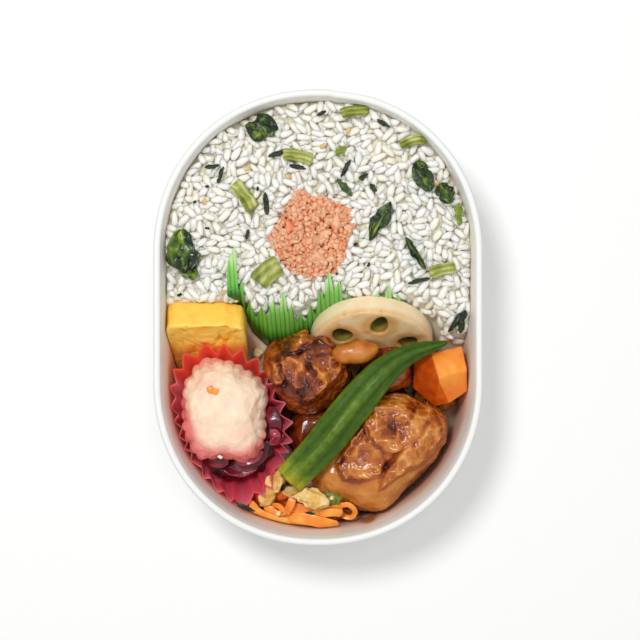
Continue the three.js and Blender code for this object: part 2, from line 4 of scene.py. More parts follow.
import bmesh
import bpy
import numpy as np
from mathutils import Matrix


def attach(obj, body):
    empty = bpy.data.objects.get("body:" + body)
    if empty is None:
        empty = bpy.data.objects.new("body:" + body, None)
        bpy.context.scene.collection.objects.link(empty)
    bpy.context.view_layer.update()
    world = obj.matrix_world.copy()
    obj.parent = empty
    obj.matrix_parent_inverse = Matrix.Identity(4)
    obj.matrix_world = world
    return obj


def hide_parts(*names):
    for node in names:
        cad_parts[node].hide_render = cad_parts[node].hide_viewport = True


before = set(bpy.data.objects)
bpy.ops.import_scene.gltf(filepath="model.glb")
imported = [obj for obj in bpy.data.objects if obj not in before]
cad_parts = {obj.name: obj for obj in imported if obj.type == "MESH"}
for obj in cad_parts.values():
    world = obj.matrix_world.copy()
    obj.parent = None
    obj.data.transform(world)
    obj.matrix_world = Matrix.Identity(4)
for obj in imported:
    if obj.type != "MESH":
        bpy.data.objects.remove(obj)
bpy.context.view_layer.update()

mm = 0.001  # sizes below are in millimetres, and become metres when a mesh is made
tau = 2 * math.pi
print("frame loaded:", len(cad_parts), "solids")


# Small maths helpers. Points are rows of numpy arrays.

def mix(a, b, t):
    return a + (b - a) * t


def smooth(x, low, high):
    t = np.clip((x - low) / (high - low), 0, 1)
    return t * t * (3 - 2 * t)


def bell(x, width):
    return np.exp(-(x / width) ** 2)


def signedPower(x, power):
    return np.sign(x) * np.abs(x) ** power


def turned(x, y, angle, at):
    # x and y turned in plan, and moved to at
    return (at[0] + x * math.cos(angle) - y * math.sin(angle), at[1] + x * math.sin(angle) + y * math.cos(angle))


def planPoints(x, y):
    # one row of x, y and 0 for each place in plan
    return np.stack([x.ravel(), y.ravel(), 0 * x.ravel()], axis=1)


def lineValue(stops, x):
    return np.interp(x, [s[0] for s in stops], [s[1] for s in stops])


def valueNoise(points, size, seed=0):
    # smooth random values from -1 to 1, with features about one size across
    p = np.asarray(points, float) / size + 31.7 * seed + 1000
    cell = np.floor(p).astype(np.int64)
    f = p - cell
    f = f * f * f * (f * (f * 6 - 15) + 10)
    total = np.zeros(len(p))
    for corner in itertools.product((0, 1), repeat=3):
        c = cell + np.array(corner)
        h = (c[:, 0] * 73856093) ^ (c[:, 1] * 19349663) ^ (c[:, 2] * 83492791) ^ (seed * 2654435)
        h = (h ^ (h >> 13)) * 1274126177 & 0x7FFFFFFF
        h = (h ^ (h >> 15)) * 668265263 & 0x7FFFFFFF
        value = ((h >> 8) & 0xFFFF) / 32767.5 - 1
        total += value * np.prod(np.where(np.array(corner) > 0, f, 1 - f), axis=1)
    return total


def fractal(points, size, octaves=3, seed=0):
    return sum(valueNoise(points, size / 2 ** k, seed + k) / 2 ** k for k in range(octaves))


def ridges(points, size, seed=0):
    # thin raised lines, from 0 between them to 1 on them
    return (1 - np.abs(valueNoise(points, size, seed))) ** 3


def between(a, b, c, d, f):
    # a smooth curve from b to c, as f goes from 0 to 1, on its way from a to d
    return (2 * b + (c - a) * f + (2 * a - 5 * b + 4 * c - d) * f ** 2 + (3 * b - a - 3 * c + d) * f ** 3) / 2


def radiusAt(radii, angle):
    # a smooth closed curve through evenly spaced radii
    n = len(radii)
    u = np.mod(angle / tau, 1) * n
    i = np.floor(u).astype(int)
    f = u - i
    r = np.array(radii, float)
    return between(*(r[(i + k) % n] for k in (-1, 0, 1, 2)), f)


def curveThrough(controls, steps):
    # evenly stepped points on a smooth curve through the controls
    c = np.array(controls, float)
    c = np.vstack([2 * c[0] - c[1], c, 2 * c[-1] - c[-2]])
    fine = []
    for k in range(1, len(c) - 2):
        f = np.linspace(0, 1, 24, endpoint=False)[:, None]
        fine.append(between(*c[k - 1:k + 3], f))
    fine = np.vstack(fine + [c[-2:-1]])
    walked = np.concatenate([[0], np.cumsum(np.linalg.norm(np.diff(fine, axis=0), axis=1))])
    at = np.linspace(0, walked[-1], steps)
    return np.stack([np.interp(at, walked, fine[:, k]) for k in range(3)], axis=1)


# Mesh helpers

def skin(loops):
    # closed skin over a stack of loops; both ends are capped at their middle
    loops = np.asarray(loops, float)
    rows, columns = loops.shape[:2]
    points = np.vstack([loops.reshape(-1, 3), loops[0].mean(0), loops[-1].mean(0)])
    faces = []
    for k in range(rows - 1):
        for i in range(columns):
            j = (i + 1) % columns
            faces.append((k * columns + i, k * columns + j, (k + 1) * columns + j, (k + 1) * columns + i))
    first, last, top = rows * columns, rows * columns + 1, (rows - 1) * columns
    for i in range(columns):
        j = (i + 1) % columns
        faces += [(first, j, i), (last, top + i, top + j)]
    return points, faces


def sheetFaces(columns, rows, flipped=False):
    # both sides and the rim of a grid of points that lies over a second one
    n, faces = columns * rows, []
    for i in range(columns - 1):
        for j in range(rows - 1):
            a = i * rows + j
            quad = (a, a + 1, a + 1 + rows, a + rows)
            over = quad if flipped else quad[::-1]
            faces += [over, tuple(k + n for k in over[::-1])]
    rim = list(range(rows)) + [i * rows + rows - 1 for i in range(1, columns)]
    rim += [(columns - 1) * rows + j for j in range(rows - 2, -1, -1)] + [i * rows for i in range(columns - 2, 0, -1)]
    return faces + [(a, b, b + n, a + n) for a, b in zip(rim, rim[1:] + rim[:1])]


def sweep(controls, steps, section, roll=0):
    # skin round a curved path; section(t, angle) gives sideways and upward offsets
    path = curveThrough(controls, steps)
    ahead = np.gradient(path, axis=0)
    ahead /= np.linalg.norm(ahead, axis=1)[:, None]
    side = np.cross([0, 0, 1], ahead)
    side /= np.linalg.norm(side, axis=1)[:, None] + 1e-9
    top = np.cross(ahead, side)
    turn = np.linspace(0, 1, steps)[:, None] * roll
    side, top = side * np.cos(turn) + top * np.sin(turn), top * np.cos(turn) - side * np.sin(turn)
    t = np.linspace(0, 1, steps)
    across, up = section(t[:, None])
    return skin(path[:, None] + across[..., None] * side[:, None] + up[..., None] * top[:, None])


def flatSection(width, thickness, sides=10, taper=0.12):
    # the rounded rectangle of a strip, which narrows at both ends
    a = np.linspace(0, tau, sides, endpoint=False)[None]
    power = 0.45

    def section(t):
        end = np.clip(np.minimum(t, 1 - t) / taper, 0.05, 1) ** 0.5
        across = signedPower(np.cos(a), power) * width / 2 * end
        up = signedPower(np.sin(a), power) * thickness / 2 * end
        return across, up + t * 0

    return section


def takenFrom(bm):
    # the points and faces of a working mesh, which is then freed
    points = np.array([v.co for v in bm.verts])
    faces = [tuple(v.index for v in f.verts) for f in bm.faces]
    bm.free()
    return points, faces


def ball(level):
    # points on a unit ball, and its triangles
    bm = bmesh.new()
    bmesh.ops.create_icosphere(bm, subdivisions=level, radius=1)
    return takenFrom(bm)


def faceOutwards(mesh):
    bm = bmesh.new()
    bm.from_mesh(mesh)
    bmesh.ops.recalc_face_normals(bm, faces=bm.faces)
    bm.to_mesh(mesh)
    bm.free()


def normalsOf(points, faces):
    normals = np.zeros_like(points)
    tris = np.array([(f[0], f[k], f[k + 1]) for f in faces for k in range(1, len(f) - 1)])
    a, b, c = points[tris[:, 0]], points[tris[:, 1]], points[tris[:, 2]]
    n = np.cross(b - a, c - a)
    for k in range(3):
        np.add.at(normals, tris[:, k], n)
    return normals / (np.linalg.norm(normals, axis=1)[:, None] + 1e-12)


def remeshed(points, faces, voxel):
    # the same solid with even, small faces
    mesh = bpy.data.meshes.new("remeshSource")
    mesh.from_pydata(np.asarray(points).tolist(), [], [list(f) for f in faces])
    faceOutwards(mesh)
    source = bpy.data.objects.new("remeshSource", mesh)
    bpy.context.scene.collection.objects.link(source)
    modifier = source.modifiers.new("even", "REMESH")
    modifier.mode = "VOXEL"
    modifier.voxel_size = voxel
    depsgraph = bpy.context.evaluated_depsgraph_get()
    even = bpy.data.meshes.new_from_object(source.evaluated_get(depsgraph))
    out = np.array([v.co for v in even.vertices]), [tuple(f.vertices) for f in even.polygons]
    bpy.data.objects.remove(source)
    bpy.data.meshes.remove(even)
    return out


def join(parts):
    # several (points, faces, tone) as one mesh
    points, faces, tones, base = [], [], [], 0
    for p, f, tone in parts:
        points.append(p)
        faces += [tuple(i + base for i in face) for face in f]
        tones.append(np.full(len(p), tone) if np.isscalar(tone) else tone)
        base += len(p)
    return np.vstack(points), faces, np.concatenate(tones)


def addPiece(name, points, faces, material, nodes=(), tone=0.5):
    mesh = bpy.data.meshes.new(name)
    mesh.from_pydata((np.asarray(points) * mm).tolist(), [], faces)
    faceOutwards(mesh)
    mesh.polygons.foreach_set("use_smooth", [True] * len(mesh.polygons))
    tones = np.full(len(points), tone) if np.isscalar(tone) else np.clip(tone, 0, 1)
    mesh.attributes.new("tone", "FLOAT", "POINT").data.foreach_set("value", tones.astype(np.float32))
    mesh.materials.append(material)
    piece = bpy.data.objects.new(name, mesh)
    bpy.context.scene.collection.objects.link(piece)
    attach(piece, "root")
    if nodes:
        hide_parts(*nodes)
    return piece


# Materials: the tone of a point, mottled by noise, picks its colour between stops

def colour(code):
    srgb = [int(code[k:k + 2], 16) / 255 for k in (0, 2, 4)]
    return [c / 12.92 if c <= 0.04045 else ((c + 0.055) / 1.055) ** 2.4 for c in srgb] + [1]


def makeMaterial(name, stops, rough=(0.35, 0.5), mottle=(4, 0.3), bumps=((1.5, 0.1),), glow=0, glowDepth=2,
                 glowTint=(1, 0.6, 0.35), coat=0, shine=0.5, seeThrough=0):
    material = bpy.data.materials.new(name)
    material.use_nodes = True
    nodes, links = material.node_tree.nodes, material.node_tree.links
    shader = nodes["Principled BSDF"]
    place = nodes.new("ShaderNodeTexCoord")

    def noise(size, detail=3.0):
        node = nodes.new("ShaderNodeTexNoise")
        node.inputs["Scale"].default_value = 1000 / size
        node.inputs["Detail"].default_value = detail
        links.new(place.outputs["Object"], node.inputs["Vector"])
        return node.outputs["Fac"]

    tone = nodes.new("ShaderNodeAttribute")
    tone.attribute_name = "tone"
    shift = nodes.new("ShaderNodeMath")
    shift.operation = "MULTIPLY_ADD"
    links.new(noise(mottle[0]), shift.inputs[0])
    shift.inputs[1].default_value = 2 * mottle[1]
    shift.inputs[2].default_value = -mottle[1]
    total = nodes.new("ShaderNodeMath")
    total.operation = "ADD"
    links.new(tone.outputs["Fac"], total.inputs[0])
    links.new(shift.outputs[0], total.inputs[1])
    ramp = nodes.new("ShaderNodeValToRGB")
    elements = ramp.color_ramp.elements
    while len(elements) < len(stops):
        elements.new(0.5)
    for element, (position, code) in zip(elements, stops):
        element.position = position
        element.color = colour(code)
    links.new(total.outputs[0], ramp.inputs[0])
    links.new(ramp.outputs[0], shader.inputs["Base Color"])

    wetness = nodes.new("ShaderNodeMapRange")
    for socket, value in zip(("From Min", "From Max", "To Min", "To Max"), (0.35, 0.65, *rough)):
        wetness.inputs[socket].default_value = value
    links.new(noise(2.2 * mottle[0], 2.0), wetness.inputs["Value"])
    links.new(wetness.outputs[0], shader.inputs["Roughness"])

    normal = None
    for size, depth in bumps:
        bump = nodes.new("ShaderNodeBump")
        bump.inputs["Distance"].default_value = depth * mm
        links.new(noise(size, 2.0), bump.inputs["Height"])
        if normal:
            links.new(normal, bump.inputs["Normal"])
        normal = bump.outputs[0]
    if normal:
        links.new(normal, shader.inputs["Normal"])
    fixed = {"Subsurface Weight": glow, "Subsurface Radius": glowTint, "Subsurface Scale": glowDepth * mm,
             "Coat Weight": coat, "Coat Roughness": 0.12, "Specular IOR Level": shine}
    for socket, value in fixed.items():
        shader.inputs[socket].default_value = value
    if seeThrough:  # light that passes through a thin film; each of its two skins tints it a little less
        passing, blend = nodes.new("ShaderNodeBsdfTranslucent"), nodes.new("ShaderNodeMixShader")
        half = nodes.new("ShaderNodeGamma")
        half.inputs["Gamma"].default_value = 0.8
        blend.inputs["Fac"].default_value = seeThrough
        links.new(ramp.outputs[0], half.inputs["Color"])
        links.new(half.outputs[0], passing.inputs["Color"])
        links.new(shader.outputs[0], blend.inputs[1])
        links.new(passing.outputs[0], blend.inputs[2])
        links.new(blend.outputs[0], nodes["Material Output"].inputs["Surface"])
    return material


looks = {
    "board": makeMaterial(
        # lowest stop: painted shade on the rim's outer side; pinkish stop: painted shade and warm reflection low on
        # the near wall; brown stop: a smear
        "whiteBoard", [(0, "d2d5d7"), (0.15, "ecedea"), (0.45, "f3ecde"), (0.75, "f0d0bc"), (1, "c07a48")],
        (0.42, 0.6), (9, 0.02), ((0.5, 0.02), (6, 0.05))),
    "rice": makeMaterial(
        # the warm lowest stop is the painted shade in the crevices
        "cookedRice", [(0, "ece0b6"), (0.3, "f4ebce"), (0.6, "f7f1de"), (1, "fbf9ee")],
        (0.25, 0.45), (6, 0.2), ((0.7, 0.04),), glow=0.8, glowDepth=2.2, glowTint=(1, 1, 0.85), shine=0.4),
    "salmon": makeMaterial(
        "flakedSalmon", [(0, "8c3012"), (0.3, "ce6236"), (0.6, "ee9064"), (1, "fcc098")],
        (0.35, 0.6), (3, 0.3), ((0.5, 0.3), (1.2, 0.3)), glow=0.5, glowDepth=1.2),
    "leaf": makeMaterial(
        "pickledLeaf", [(0, "0c1a06"), (0.4, "223d0d"), (0.7, "4f6f14"), (1, "93a02a")],
        (0.2, 0.4), (2.5, 0.3), ((0.8, 0.15),), coat=0.2),
    "stem": makeMaterial(
        "pickledStem", [(0, "38470a"), (0.35, "6a7a16"), (0.7, "a2a648"), (1, "d2d09a")],
        (0.3, 0.5), (2.5, 0.12), ((0.8, 0.1),), glow=0.15, glowDepth=1),
    "egg": makeMaterial(
        "rolledEgg", [(0, "c8700c"), (0.25, "ee9a1e"), (0.5, "fbb536"), (0.75, "ffce50"), (1, "ffe084")],
        (0.35, 0.5), (3, 0.14), ((1.2, 0.15), (0.4, 0.05)), glow=0.1, glowDepth=1.5),
    "lotus": makeMaterial(
        # the two dark olive stops are the painted shade and green reflection down the holes
        "simmeredLotus", [(0, "38460c"), (0.12, "86803a"), (0.3, "be8434"), (0.6, "deb47a"), (0.85, "f0d8ae"),
                          (1, "f6e6c8")],
        (0.3, 0.45), (3, 0.1), ((1.2, 0.08),), glow=0.15, glowDepth=1.5, coat=0.1),
    "grass": makeMaterial(
        # the dark low stops are painted shade at the foot and in the creases, the pale top ones painted light at the
        # tips
        "greenSheet", [(0, "0e3404"), (0.3, "266a12"), (0.6, "56a834"), (0.85, "86c85c"), (1, "b4e090")],
        (0.25, 0.4), (8, 0.06), ((0.9, 0.03),)),
    "chicken": makeMaterial(
        "glazedChicken", [(0, "240802"), (0.22, "591d07"), (0.42, "8c3c10"), (0.6, "b6621a"), (0.8, "ce8436"),
                          (1, "e0a460")],
        (0.1, 0.3), (5, 0.16), ((1.6, 0.25), (0.6, 0.1)), glow=0.06, glowDepth=1.5, coat=0.4, shine=0.4),
    "mushroom": makeMaterial(
        "glazedMushroom", [(0, "3a1404"), (0.35, "904a10"), (0.65, "c67420"), (1, "de9c46")],
        (0.2, 0.4), (3, 0.2), ((0.9, 0.1),), glow=0.1, coat=0.25),
    "okra": makeMaterial(
        "simmeredOkra", [(0, "12260a"), (0.3, "284804"), (0.55, "426408"), (0.75, "6e8214"), (1, "a39a12")],
        (0.3, 0.5), (3, 0.2), ((0.4, 0.1), (2, 0.15)), shine=0.3),
    "carrot": makeMaterial(
        "simmeredCarrot", [(0, "862804"), (0.3, "cc500a"), (0.55, "f27c1e"), (0.8, "fca23a"), (1, "fec76a")],
        (0.2, 0.38), (3, 0.12), ((1, 0.06),), glow=0.12, glowDepth=1.5, coat=0.2),
    "cup": makeMaterial(
        # the pale pink and orange stops are painted light through the film
        "pleatedFilm", [(0, "b8102c"), (0.22, "e8324e"), (0.42, "fb5474"), (0.58, "ff829c"), (0.72, "ffb2c0"),
                        (1, "ff8670")],
        (0.3, 0.45), (10, 0.1), ((0.6, 0.02),), seeThrough=0.7, shine=0.35),
    "salad": makeMaterial(
        # the pink low stops are the painted reflection of the red cup
        "potatoSalad", [(0, "e0605e"), (0.3, "f28c84"), (0.55, "f5bfaa"), (0.8, "f5dfc2"), (1, "faf0dc")],
        (0.4, 0.6), (3, 0.1), ((1.2, 0.2), (0.5, 0.1)), glow=0.25, glowDepth=2),
    "pickle": makeMaterial(
        "purplePickle", [(0, "22040c"), (0.35, "6e1022"), (0.65, "a23346"), (1, "cf8494")],
        (0.15, 0.3), (4, 0.25), ((1.2, 0.12),), glow=0.15, glowDepth=1.5, coat=0.3),
    "tofu": makeMaterial(
        "friedTofu", [(0, "a06a14"), (0.35, "d09838"), (0.65, "ecc26e"), (1, "f8e2ae")],
        (0.45, 0.65), (1.8, 0.3), ((0.8, 0.25),), glow=0.1, glowDepth=1),
    "sauce": makeMaterial(
        "soySauceAndShade", [(0, "1d0a03"), (0.5, "4d210b"), (1, "8a4a1e")],
        (0.08, 0.2), (6, 0.3), ((3, 0.05),), coat=0.4),
    "seed": makeMaterial(
        "sesameSeed", [(0, "a87f45"), (0.5, "d3b074"), (1, "ead3a4")],
        (0.4, 0.6), (1.5, 0.3), ((0.5, 0.04),)),
}
print("materials made:", len(looks))


# The box: one profile carried round an oval

boxSizes = {
    "length": 180, "width": 130, "height": 50, "squareness": 2.1,
    "rimWidth": 3, "rimHeight": 4.2, "wall": 1, "draft": 0.09,
    "floor": 3, "base": 1.4, "foot": 2.6, "arcSteps": 130, "rimSteps": 18,
    "seamX": 5.5, "seamStep": 0.35,
}
cornerStops = [(0, 6.5), (0.3, 4.3), (0.8, 3), (1.6, 1.8), (2.8, 0.9), (4.4, 0.3), (6, 0)]


def ovalLoop(inset, z):
    b = boxSizes
    straight, power = (b["length"] - b["width"]) / 2, 2 / b["squareness"]
    a = np.linspace(0, math.pi, b["arcSteps"] + 1)
    x = signedPower(np.cos(a), power)
    y = np.sin(a).clip(0) ** power
    r = b["width"] / 2 - inset
    half = np.stack([x * r, straight + y * r, np.full(len(a), z)], axis=1)
    return np.vstack([half, half * [-1, -1, 1]])


def wallInset(z):
    b = boxSizes
    return b["rimWidth"] + (b["height"] - z) * b["draft"] + lineValue(cornerStops, z - b["floor"])


def pastWall(p):
    b = boxSizes
    y = np.maximum(0, np.abs(p[:, 1]) - (b["length"] - b["width"]) / 2)
    r = (np.abs(p[:, 0]) ** b["squareness"] + y ** b["squareness"]) ** (1 / b["squareness"])
    return r - (b["width"] / 2 - wallInset(p[:, 2]))


def keepInside(p, margin=0.4):
    # moves points in from the wall and up from the floor
    straight = (boxSizes["length"] - boxSizes["width"]) / 2
    p = p.copy()
    p[:, 2] = np.maximum(p[:, 2], boxSizes["floor"] + 0.3)
    centre = np.stack([0 * p[:, 0], np.clip(p[:, 1], -straight, straight), p[:, 2]], axis=1)
    out = p - centre
    reach = np.linalg.norm(out, axis=1) + 1e-9
    over = np.maximum(0, pastWall(p) + margin)
    return centre + out * ((reach - over) / reach)[:, None]


def makeBox():
    b = boxSizes
    outer = lambda z: b["rimWidth"] - b["wall"] + (b["height"] - z) * b["draft"]
    neck = b["height"] - b["rimHeight"]
    side, foot = outer(0), outer(0) + b["foot"]
    profile = [(foot + 0.8, b["base"]), (foot + 0.2, 0.2), (foot, 0),
               (side + 0.5, 0), (side + 0.1, 0.3), (outer(1), 1)]
    profile += [(outer(z), z) for z in np.linspace(4, neck, 10)]
    halfWide, halfHigh = b["rimWidth"] / 2, b["rimHeight"] / 2
    for t in np.linspace(-1.35, math.pi + 0.25, b["rimSteps"]):
        x = math.copysign(abs(math.cos(t)) ** 0.8, math.cos(t)) * halfWide
        z = math.copysign(abs(math.sin(t)) ** 0.8, math.sin(t)) * halfHigh
        profile.append((halfWide - x, b["height"] - halfHigh + z))
    profile += [(wallInset(z), z) for z in np.linspace(neck + 0.6, b["floor"] + 6, 22)]
    profile += [(wallInset(b["floor"] + rise), b["floor"] + rise) for rise, _ in reversed(cornerStops[:-1])]
    loops = np.array([ovalLoop(inset, z) for inset, z in profile])
    # the board's end lies over its start at the far end, as a low step
    x, y = loops[..., 0], loops[..., 1]
    seam = b["seamX"]
    step = b["seamStep"] * smooth(x, seam - 0.5, seam + 0.5) * (1 - smooth(x, seam + 6, seam + 16))
    loops[5:, :, 1] -= (step * (y > 0))[5:]  # the first five loops are the underside
    points, faces = skin(loops)
    inside = smooth(-pastWall(points), -0.9, -0.2)
    near, z = points[:, 1], points[:, 2]
    warm = 0.3 * smooth(z, 30, 38) * (1 - smooth(z, 40, 45)) * (near > 0)
    # painted shade and warm reflection of the food: the near inner wall is pinker low down
    pink = 0.62 * (1 - smooth(near, -30, 5)) * (1 - smooth(z, 26, 42 + 4 * valueNoise(points, 12, 3)))
    drip = 0.8 * np.exp(-((points[:, 0] - 20) ** 2 + (near + 80) ** 2) / 9) * (z > 20)
    # painted shade: the rim's outer side is a little greyer, as in shade
    rolled = (1 - inside) * smooth(-pastWall(points), -2.2, -2.9) * (z > 40)
    tone = 0.16 + inside * (warm + pink + drip) - 0.12 * rolled
    addPiece("boardBox", points, faces, looks["board"], ["box"], tone)


makeBox()
print("box made")


# Rice: a bed over which grains are dropped one by one

riceSizes = {
    "edge": 38.5, "crown": 5, "middle": 40, "unevenness": 2.4,
    "grainLength": 6.7, "grainWidth": 2.8, "grainHeight": 2.5, "grains": 2450,
    "depth": 3.3, "sink": 1.25, "over": 1.6, "region": (-62, 62, -14, 88),
    "bedUnder": 1.6, "bedGrid": (120, 110), "bedX": (-63, 63), "bedY": (-24, 89),
}
fieldCell = 0.5  # spacing of the height field that grains and flakes drop on
dropTries = 6  # places tried for each of them
footLine = [(-38, -4.2), (-30, -5.5), (-20, -12.2), (-12, -11.6), (-2, -7), (46, -7), (52, -12)]
climb = [(-36, 1.9), (-24, 1.28), (46, 1.28), (52, 1.9)]
footHeight = 20

# plan of the grass sheet: the tips of its teeth and its foot
toothTips = [
    (-33, 28.5), (-30, 15), (-27.3, 7), (-22.5, 4.5), (-18, 7), (-13.6, 11.5), (-10.5, 6), (-7.2, 2), (-3, 5.5),
    (0.7, 11.5), (4.2, 19), (8.5, 15), (12.3, 9.5), (16, 7), (19.8, 7.5), (23.7, 10.5), (28.2, 13.5),
    (31.8, 9.5),
]
sheetLine = [
    (-37, 5.4), (-31, 4.6), (-27, -6), (-20, -12.6), (-12, -13), (-4, -10), (4, -4), (13, -3.5), (24, -8),
    (40, -8),
]
salmonSizes = {
    "at": (-1.5, 33.5), "radii": [16.5, 18, 14.8, 16, 18.4, 15, 18, 17.3, 16.8, 17.6, 17.8, 18], "height": 4.2,
    "flakes": 340, "crumbs": 420, "shapes": 14, "sink": 0.5, "over": 0.7, "bed": 1.5, "region": (-22, 19, 12, 54),
}


def softMin(a, b, width):
    h = np.clip(0.5 + (b - a) / (2 * width), 0, 1)
    return mix(b, a, h) - width * h * (1 - h)


def riceTop(x, y, soft=2.5):
    across = x / (boxSizes["width"] / 2)
    down = (y - riceSizes["middle"]) / (boxSizes["length"] / 2 - riceSizes["middle"] + 6)
    dome = riceSizes["edge"] + riceSizes["crown"] * np.maximum(0, 1 - across ** 4 - np.abs(down) ** 3 * 0.9)
    slope = footHeight + (y - lineValue(footLine, x)) * lineValue(climb, x)
    return softMin(dome, slope, soft)


def dropped(rng, count, region, target, start, sizes, sink, over, wanted):
    # drops flat ovals on a height field, each where the heap is lowest of a few tries;
    # returns their centres, turns, slopes and sizes, and the heap's final height field
    x0, x1, y0, y1 = region
    xs, ys = np.arange(x0, x1, fieldCell), np.arange(y0, y1, fieldCell)
    gx, gy = np.meshgrid(xs, ys, indexing="ij")
    goal = target(gx, gy)
    heap = start(gx, gy)
    # neighbours lie nearly the same way
    grainTurn = math.pi * 2.2 * valueNoise(planPoints(gx, gy), 9, 77).reshape(gx.shape)
    allowed = np.argwhere(wanted(gx, gy, goal))
    out = []
    for _ in range(5 * count):
        if len(out) == count:
            break
        tries = allowed[rng.integers(0, len(allowed), dropTries)]
        lack = goal[tries[:, 0], tries[:, 1]] - heap[tries[:, 0], tries[:, 1]]
        i, j = tries[int(np.argmax(lack))]
        length, width, height = sizes(rng)
        turn = grainTurn[i, j] + rng.normal(0, 0.55)
        reach = int(length / fieldCell) + 1
        a, b = slice(max(0, i - reach), i + reach + 1), slice(max(0, j - reach), j + reach + 1)
        dx, dy = gx[a, b] - gx[i, j], gy[a, b] - gy[i, j]
        u, v = dx * math.cos(turn) + dy * math.sin(turn), dy * math.cos(turn) - dx * math.sin(turn)
        inside = (u / length) ** 2 + (v / width) ** 2
        under = inside < 1
        h = heap[a, b]
        ahead, behind = under & (u > 0.3 * length), under & (u < -0.3 * length)
        if not ahead.any() or not behind.any():
            continue
        slope = np.clip((h[ahead].mean() - h[behind].mean()) / (1.2 * length), -0.9, 0.9) + rng.normal(0, 0.12)
        belly = height * np.sqrt(np.clip(1 - inside, 0, 1))
        z = (h[under] - slope * u[under] + belly[under]).max() - sink
        if z + 0.7 * height > goal[i, j] + over:
            continue
        heap[a, b] = np.where(under, np.maximum(h, z + slope * u + belly), h)
        out.append((gx[i, j], gy[i, j], z, turn, slope, length, width, height))
    return np.array(out), (xs, ys, heap)


def placed(template, rows):
    # copies of a unit template, one for each row of dropped(), turned and sized
    x, y, z, turn, slope, length, width, height = rows.T[:, :, None]
    u, v, w = (template[None, :, k] for k in range(3))
    pitch = np.arctan(slope)
    along = u * length * np.cos(pitch) - w * height * np.sin(pitch)
    up = u * length * np.sin(pitch) + w * height * np.cos(pitch)
    side = v * width
    return np.stack([x + along * np.cos(turn) - side * np.sin(turn),
                     y + along * np.sin(turn) + side * np.cos(turn), z + up], axis=2)


def grainTemplate():
    # a grain from end to end, with eight sides; its ends bend down a little
    sides, stations = 8, np.array([-0.95, -0.66, -0.05, 0.55, 0.9])
    a = np.linspace(0, tau, sides, endpoint=False)
    width = (1 - np.abs(stations) ** 2.6) ** 0.5 * (1 + 0.08 * stations)
    loops = np.stack([np.repeat(stations[:, None], sides, 1), np.cos(a) * width[:, None],
                      np.sin(a) * width[:, None] - 0.16 * (stations[:, None] ** 2)], axis=2)
    return skin(loops)


def wantsRice(x, y, goal):
    # not at the wall, on the omelette's or the lotus slice's top, or where the grass sheet covers it
    p = np.stack([x.ravel(), y.ravel(), goal.ravel()], axis=1)
    clear = (pastWall(p) < -1.4).reshape(x.shape)
    onEgg = (x < -26) & (y < 7.8)
    onLotus = np.hypot((x - 21.6) / 26, (y + 6.6) / 16.6) < 1
    covered = (np.abs(x + 1) < 31) & (y < lineValue(sheetLine, x) + 9)
    return clear & (goal > 24) & (y > -14) & ~onEgg & ~onLotus & ~covered


def sheetDepth(x, y):
    # 1 well inside the part of the rice that the grass sheet covers, 0 away from it
    low = lineValue(sheetLine, x)
    return smooth(y, low - 3, low) * (1 - smooth(y, low + 7, low + 12)) * (1 - smooth(np.abs(x - 2), 34, 37))


def riceGoal(x, y):
    uneven = riceSizes["unevenness"] * fractal(planPoints(x, y), 12, 2, 5).reshape(x.shape)
    under = smooth(np.hypot(x - salmonSizes["at"][0], y - salmonSizes["at"][1]), 12, 17)
    low = 2.2 * sheetDepth(x, y) + 2.2 * (1 - under)
    return riceTop(x, y) + mix(0.4, 1, under) * uneven - 0.4 - low


def makeRice():
    rng = np.random.default_rng(11)
    r = riceSizes

    def sizes(g):
        return (r["grainLength"] / 2 * g.uniform(0.82, 1.12), r["grainWidth"] / 2 * g.uniform(0.88, 1.1),
                r["grainHeight"] / 2 * g.uniform(0.88, 1.08))

    def start(x, y):
        return riceGoal(x, y) - r["depth"]

    rows, field = dropped(rng, r["grains"], r["region"], riceGoal, start, sizes, r["sink"], r["over"], wantsRice)
    template, grainFaces = grainTemplate()
    points = placed(template, rows)
    count = len(template)
    faces = [tuple(i + k * count for i in f) for k in range(len(rows)) for f in grainFaces]
    # painted shade: grains lying low in the heap are darker and warmer, as in the crevices
    deep = np.clip((riceGoal(rows[:, 0], rows[:, 1]) - rows[:, 2]) / 2.6, -0.2, 1)
    tone = np.repeat(rng.uniform(0.62, 0.95, len(rows)) - 0.34 * deep, count)
    points = keepInside(points.reshape(-1, 3), 0.1)
    addPiece("riceGrains", points, faces, looks["rice"], ["rice"], tone)

    columns, steps = r["bedGrid"]
    gx, gy = np.meshgrid(np.linspace(*r["bedX"], columns), np.linspace(*r["bedY"], steps), indexing="ij")
    top = np.stack([gx, gy, np.maximum(4, riceGoal(gx, gy) - r["bedUnder"])], axis=2).reshape(-1, 3)
    top[:, 2] += 0.5 * valueNoise(top, 3, 2)
    low = top * [1, 1, 0] + [0, 0, boxSizes["floor"] + 0.4]
    points = keepInside(np.vstack([top, low]), 0.12)
    addPiece("riceBed", points, sheetFaces(columns, steps), looks["rice"], (), 0.5)
    print("rice made:", len(rows), "grains")
    return field


riceField = makeRice()


def restHeight(x, y):
    # the height of the grains at a place
    xs, ys, heap = riceField
    i = int(np.clip(np.searchsorted(xs, x), 3, len(xs) - 4))
    j = int(np.clip(np.searchsorted(ys, y), 3, len(ys) - 4))
    return float(np.percentile(heap[i - 3:i + 4, j - 3:j + 4], 84))


# Salmon: flakes dropped on the middle of the rice

def crumbShapes(count, level=3):
    # irregular crumbs: knobbly balls cut by a few random planes
    rng = np.random.default_rng(17)
    unit, faces = ball(level)
    shapes = []
    for k in range(count):
        p = unit * (1 + 0.4 * valueNoise(unit, 0.9, k + 3) + 0.3 * valueNoise(unit, 0.42, k + 40))[:, None]
        for _ in range(3):
            normal = rng.normal(size=3)
            normal /= np.linalg.norm(normal)
            p = p - np.maximum(0, p @ normal - rng.uniform(0.5, 0.9))[:, None] * normal
        shapes.append(p * 1.2)
    return shapes, faces


